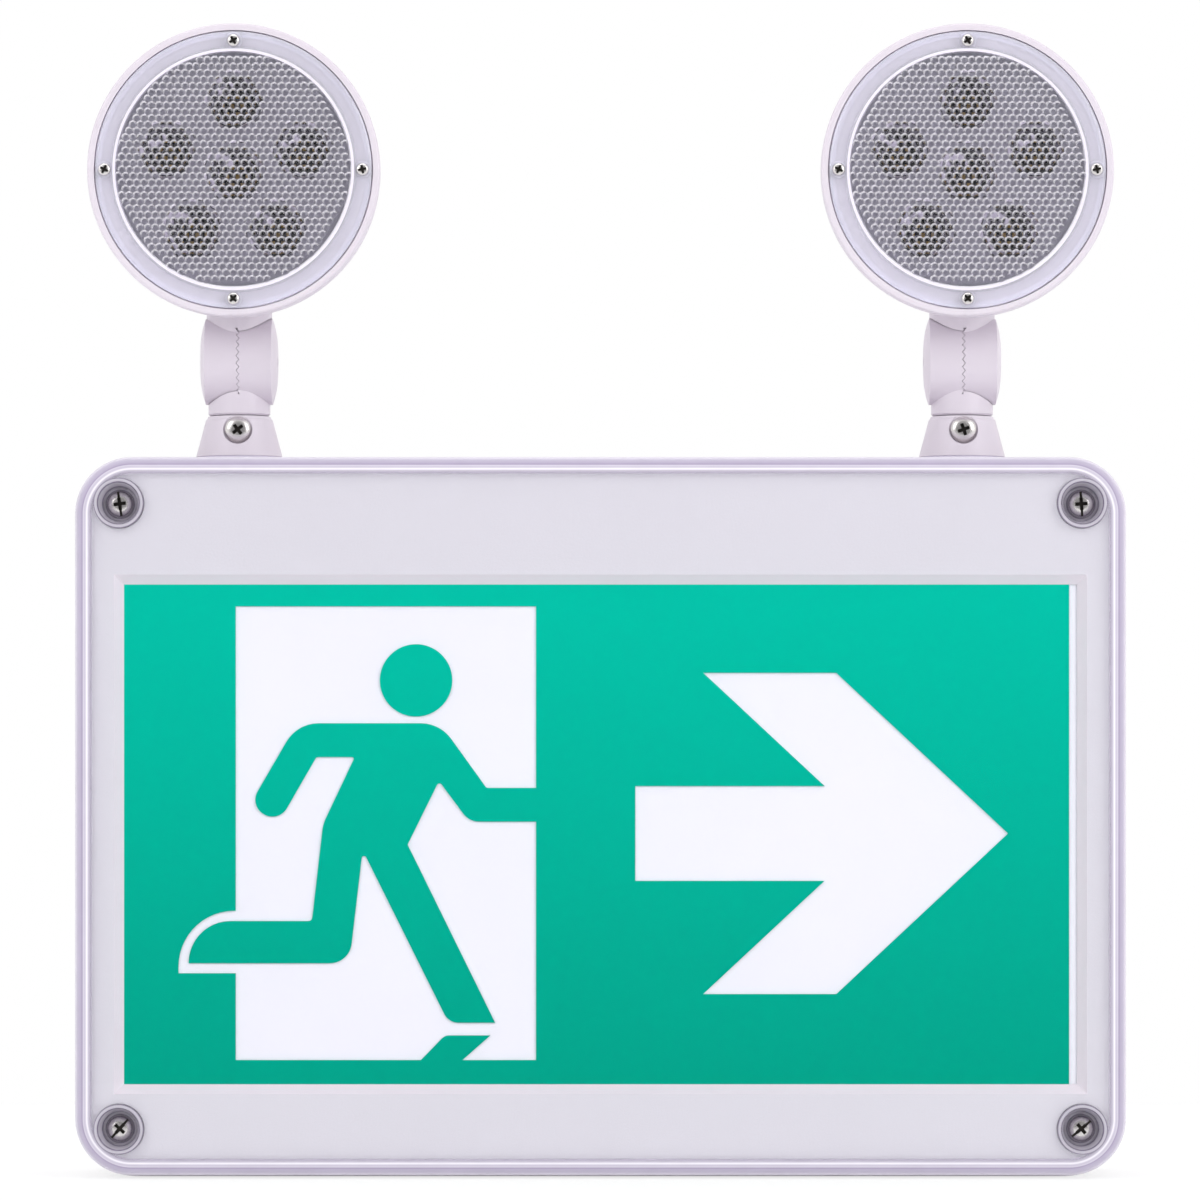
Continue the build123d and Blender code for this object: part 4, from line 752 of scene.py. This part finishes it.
def turned_body(name, profile, centre, segments=128):
    """A body turned about an axis that faces the front. profile is its closed half outline as (radius, depth) in
    millimetres, from the front of its axis outwards and back to its axis."""
    shape = bmesh.new()
    rings = []
    for radius, depth in profile:
        if radius == 0:
            rings.append([shape.verts.new((centre.x, -depth * MM, centre.z))])
            continue
        ring = []
        for step in range(segments):
            angle = math.tau * step / segments
            x, z = radius * MM * math.cos(angle), radius * MM * math.sin(angle)
            ring.append(shape.verts.new((centre.x + x, -depth * MM, centre.z + z)))
        rings.append(ring)
    for inner, outer in zip(rings, rings[1:]):
        for step in range(segments):
            after = (step + 1) % segments
            if len(inner) == 1:
                shape.faces.new((inner[0], outer[step], outer[after]))
            elif len(outer) == 1:
                shape.faces.new((inner[step], outer[0], inner[after]))
            else:
                shape.faces.new((inner[step], outer[step], outer[after], inner[after]))
    bmesh.ops.recalc_face_normals(shape, faces=shape.faces)
    mesh = bpy.data.meshes.new(name)
    shape.to_mesh(mesh)
    shape.free()
    return mesh


# ---- operators ----


class EXITLIGHT_OT_finish_nodes(Operator):
    """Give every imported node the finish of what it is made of"""

    bl_idname = "exitlight.finish_nodes"
    bl_label = "Finish the packed parts"

    def execute(self, context):
        finish = {node: key for key, nodes in FINISH_NODES.items() for node in nodes.split()}
        for name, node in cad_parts.items():
            kind = name.removeprefix("left_").removeprefix("right_")
            for slot in node.material_slots:
                slot.material = finish_of(finish[kind])
        return {"FINISHED"}


# Sizes of each kind of screw in millimetres: radius and height of its head, radius and length of its shank. Then the
# slot's width over the head's, and how much larger than usual its recess is.
COVER_SCREW = (4.5, 3.0, 2.4, 17.6, 0.09, 1.0)
LENS_SCREW = (2.1, 1.2, 1.2, 6.0, 0.0, 1.5)
LOCK_SCREW = (4.475, 2.4, 2.0, 5.1, 0.0, 1.0)
KNUCKLE_SCREW = (3.25, 2.4, 2.0, 20.2, 0.0, 1.0)


class EXITLIGHT_OT_screws(Operator):
    """Make the cover, lock, knuckle and lens screws with their recesses"""

    bl_idname = "exitlight.screws"
    bl_label = "Screws"

    def execute(self, context):
        own = context.scene.exit_screws
        tree = screw_tree()
        low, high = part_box("cover_screws")
        inset = COVER_SCREW[0] * MM
        corners = [
            Vector((x, COVER_SEAT, z))
            for z in (high[2] - inset, low[2] + inset)
            for x in (low[0] + inset, high[0] - inset)
        ]
        front = (0.0, -1.0, 0.0)
        jobs = [("cover_screws", "housing", COVER_SCREW, corners, (8, 4, -42, -50), front)]
        for side, way in SIDES.items():
            around = lens_screw_axes(middle(side + "_lens"), LENS_SEAT)
            lock = middle(side + "_lock_screw")
            lock.y = LOCK_SEAT
            knuckle = middle(side + "_knuckle_screw")
            knuckle.x = way * (SEAM_X + 9.6 * MM)
            lock_turn = {"left": 38, "right": 20}[side]
            jobs += [
                (side + "_lens_screws", side + "_head", LENS_SCREW, around, (12, 31, 64, 45), front),
                (side + "_lock_screw", "housing", LOCK_SCREW, [lock], [lock_turn], front),
                (side + "_knuckle_screw", side + "_arm", KNUCKLE_SCREW, [knuckle], [25], (float(way), 0.0, 0.0)),
            ]
        for node, body, sizes, seats, turns, facing in jobs:
            head, height, shank, length, slot, opening = sizes
            piece = grown(
                node + "_driven",
                points(node + "_seats", seats, turns),
                tree,
                {
                    "Head radius": head * MM,
                    "Head height": height * MM,
                    "Shank radius": shank * MM,
                    "Shank length": length * MM,
                    "Cross length": 2 * head * own.cross * opening * MM,
                    "Cross width": 2 * head * own.bar * opening * MM,
                    "Recess depth": height * own.depth * MM,
                    "Slot width": 2 * head * slot * MM,
                    "Facing": facing,
                    "Material": finish_of("steel"),
                    "Recess material": finish_of("recess"),
                },
            )
            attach(piece, body)
            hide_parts(node)
        return {"FINISHED"}


class EXITLIGHT_OT_teeth(Operator):
    """Make the teeth that lock each lamp's knuckle, on the arm's disc and on the head's disc"""

    bl_idname = "exitlight.teeth"
    bl_label = "Knuckle teeth"

    def execute(self, context):
        own = context.scene.exit_teeth
        tree = teeth_tree()
        half_tooth = math.pi / own.count
        for side, way in SIDES.items():
            knuckle = middle(side + "_knuckle_screw")
            for part, outward, turn in (("arm", way, 0.0), ("head", -way, half_tooth)):
                name = f"{side}_{part}_teeth"
                piece = grown(
                    name,
                    bpy.data.meshes.new(name + "_start"),
                    tree,
                    {
                        "Teeth": own.count,
                        "Inner radius": 9.3 * MM,
                        "Outer radius": 14.38 * MM,
                        "Tooth depth": own.depth,
                        "Clearance": 0.07 * MM,
                        "Turn": turn,
                        "Facing": float(outward),
                        "Middle": (way * SEAM_X - outward * 0.03 * MM, knuckle.y, knuckle.z),
                        "Material": finish_of("shell"),
                    },
                )
                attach(piece, f"{side}_{part}")
        return {"FINISHED"}


# Half outlines of the lens and of the boss round each of its screws, as (radius, depth) in millimetres.
LENS_PROFILE = (
    (0, 85.4), (38.7, 85.4), (39.1, 85.75), (40.0, 85.75), (40.5, 85.3), (40.7, 84.8), (43.2, 84.8),
    (43.5, 84.95), (44.8, 84.95), (45.2, 84.8), (45.8, 84.4), (45.8, 82.65), (39.0, 82.65), (0, 82.65),
)
PRISMS_WITHIN, LIP_WITHIN = 38.9 * MM, 40.2 * MM  # radii of the flat front and of the lip round it
BOSS_PROFILE = ((0, 85.2), (2.6, 85.2), (2.95, 84.9), (2.95, 84.0), (0, 84.0))


class EXITLIGHT_OT_lenses(Operator):
    """Make the two clear lenses: turned flange with its bosses, and the field of prisms"""

    bl_idname = "exitlight.lenses"
    bl_label = "Prismatic lenses"

    def execute(self, context):
        own = context.scene.exit_lens
        tree = prism_tree()
        for side in SIDES:
            centre = middle(side + "_lens")
            mesh = turned_body(side + "_lens_turned", LENS_PROFILE, centre)
            shape = bmesh.new()
            shape.from_mesh(mesh)
            for axis in lens_screw_axes(centre, 0):
                boss = turned_body(side + "_boss", BOSS_PROFILE, axis, segments=32)
                shape.from_mesh(boss)
                bpy.data.meshes.remove(boss)
            # Smooth, with the edges sharper than 38 degrees kept crisp.
            for face in shape.faces:
                face.smooth = True
            for edge in shape.edges:
                edge.smooth = len(edge.link_faces) == 2 and edge.calc_face_angle() < math.radians(38)
            shape.to_mesh(mesh)
            shape.free()
            for finish in ("flange", "lip", "prism"):
                mesh.materials.append(finish_of(finish))
            for face in mesh.polygons:
                spot = face.center - centre
                radius = math.hypot(spot.x, spot.z)
                if radius < PRISMS_WITHIN:
                    face.material_index = 2
                elif radius < LIP_WITHIN and face.normal.y < -0.1:
                    face.material_index = 1
            piece = grown(
                side + "_prismatic_lens",
                mesh,
                tree,
                {
                    "Pitch": own.pitch,
                    "Row spacing": own.row,
                    "Prism height": own.height,
                    "Field radius": own.zone,
                    "Sides": own.sides,
                    "Middle": (centre.x, -85.35 * MM, centre.z),
                    "Material": finish_of("prism"),
                },
            )
            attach(piece, side + "_head")
            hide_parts(side + "_lens")
        return {"FINISHED"}


def stage_paper(name, pale, deep, share):
    """White paper. Of what the camera, a lens or a reflection sees of it, that share is plain white, and the light
    that it scatters is its own."""
    made, tree, place = blank(name)
    paper = add(tree, "ShaderNodeBsdfDiffuse", [drifting(tree, place, 300.0, pale, deep)])
    white = add(tree, "ShaderNodeEmission", [WHITE, 1.0])
    path = add(tree, LIGHT_PATH).outputs
    seen = add(tree, MATH, [path["Is Camera Ray"], path["Is Transmission Ray"]], operation="MAXIMUM")
    shown = add(tree, MATH, [seen, path["Is Glossy Ray"]], operation="MAXIMUM")
    lifted = add(tree, MATH, [shown, share], operation="MULTIPLY")
    mixed = add(tree, MIX_SHADER, [lifted, paper, white])
    add(tree, "ShaderNodeOutputMaterial", [mixed])
    return made


def light_room(tree, own):
    """World light. Diffuse surfaces get an even fill, while reflections show a dark room in front with white walls
    at the sides. The camera sees white."""
    path = add(tree, LIGHT_PATH).outputs
    mirrored = add(tree, MATH, [path["Is Glossy Ray"], path["Is Transmission Ray"]], operation="MAXIMUM")
    unscattered = add(tree, MATH, [path["Diffuse Depth"], 0.5], operation="LESS_THAN")
    seen = add(tree, MATH, [mirrored, unscattered], operation="MULTIPLY")
    heading = add(tree, SPLIT, [add(tree, "ShaderNodeTexCoord").outputs["Generated"]]).outputs["Y"]
    front = add(tree, REMAP, [path["Is Transmission Ray"], 0, 1, own.gloss, 0.02])
    room = add(tree, REMAP, [heading, -0.95, -0.6, front, own.sides])
    soft = add(tree, REMAP, [seen, 0, 1, own.fill, room])
    level = add(tree, REMAP, [path["Is Camera Ray"], 0, 1, soft, 1.0])
    add(tree, "ShaderNodeOutputWorld", [add(tree, "ShaderNodeBackground", [WHITE, level])])


class EXITLIGHT_OT_studio(Operator):
    """Set up the floor, backdrop, softboxes and camera"""

    bl_idname = "exitlight.studio"
    bl_label = "Studio"

    def execute(self, context):
        scene = context.scene
        own = scene.exit_studio
        foot = cad_box[0].z
        pale, grey = linear("#fefefe"), (0.9, 0.9, 0.9, 1.0)
        sheet = stage_paper("white_paper_sweep", pale, linear("#fbfbfc"), 0.75)
        backdrop = stage_paper("lit_backdrop", grey, grey, 1.0)
        for name, surface, near, far in (
            ("floor", sheet, (-1.2, foot), (0.7, foot)),
            ("backdrop", backdrop, (0.7, foot), (0.7, 6)),
        ):
            mesh = bpy.data.meshes.new(name)
            mesh.from_pydata([(-6, *near), (6, *near), (6, *far), (-6, *far)], [], [(0, 1, 2, 3)])
            mesh.materials.append(surface)
            stage = bpy.data.objects.new(name, mesh)
            scene.collection.objects.link(stage)

        target = Vector((0, -0.04, 0.07))
        for name, place, wide, high, power in (
            ("softbox_left", (-1.5, -1.6, 1.0), 1.3, 1.3, own.key * 0.8),
            ("softbox_right", (1.6, -1.5, 0.8), 1.2, 1.2, own.key * 1.05),
            ("softbox_top", (0.0, -0.3, 1.8), 1.6, 1.2, own.top),
        ):
            lamp = bpy.data.lights.new(name, "AREA")
            lamp.shape, lamp.size, lamp.size_y, lamp.energy = "RECTANGLE", wide, high, power
            holder = bpy.data.objects.new(name, lamp)
            holder.location = place
            holder.rotation_euler = (target - Vector(place)).to_track_quat("-Z", "Y").to_euler()
            scene.collection.objects.link(holder)

        world = bpy.data.worlds.new("studio_surroundings")
        world.use_nodes = True
        world.node_tree.nodes.clear()
        light_room(world.node_tree, own)
        scene.world = world

        # Where the photograph was taken from, as near as the light's outline in it tells.
        lens = bpy.data.cameras.new("camera")
        lens.sensor_width, lens.lens = 36.0, 226.93
        lens.shift_x, lens.shift_y = -0.00917, 0.225
        lens.clip_start, lens.clip_end = 0.05, 50.0
        camera = bpy.data.objects.new("camera", lens)
        camera.location = (3.47 * MM, -2588 * MM, -17.8 * MM)
        camera.rotation_euler = (math.pi / 2, 0, 0)
        scene.collection.objects.link(camera)
        scene.camera = camera
        scene.view_settings.view_transform = "Standard"
        return {"FINISHED"}


class EXITLIGHT_PT_panel(Panel):
    """Makes the exit light's finishes and fine parts"""

    bl_idname = "EXITLIGHT_PT_panel"
    bl_label = "Exit Light"
    bl_space_type = "VIEW_3D"
    bl_region_type = "UI"
    bl_category = "Exit Light"

    def draw(self, context):
        for name in GROUPS:
            group = getattr(context.scene, name)
            box = self.layout.box()
            for key in group.__annotations__:
                box.prop(group, key)
        for made in OPERATORS:
            self.layout.operator(made.bl_idname)


GROUPS = {
    "exit_lens": ExitLightLens,
    "exit_screws": ExitLightScrews,
    "exit_teeth": ExitLightTeeth,
    "exit_colours": ExitLightColours,
    "exit_studio": ExitLightStudio,
}
OPERATORS = (
    EXITLIGHT_OT_finish_nodes,
    EXITLIGHT_OT_screws,
    EXITLIGHT_OT_teeth,
    EXITLIGHT_OT_lenses,
    EXITLIGHT_OT_studio,
)


def register():
    """Registers the groups, operators and panel."""
    for name, group in GROUPS.items():
        bpy.utils.register_class(group)
        setattr(bpy.types.Scene, name, PointerProperty(type=group))
    for made in (*OPERATORS, EXITLIGHT_PT_panel):
        bpy.utils.register_class(made)


def unregister():
    """Takes them out again."""
    for made in (EXITLIGHT_PT_panel, *reversed(OPERATORS)):
        bpy.utils.unregister_class(made)
    for name, group in reversed(GROUPS.items()):
        delattr(bpy.types.Scene, name)
        bpy.utils.unregister_class(group)


def main():
    """Runs every step in order."""
    register()
    bpy.ops.exitlight.finish_nodes()
    bpy.ops.exitlight.screws()
    bpy.ops.exitlight.teeth()
    bpy.ops.exitlight.lenses()
    bpy.ops.exitlight.studio()


if __name__ == "__main__":
    main()
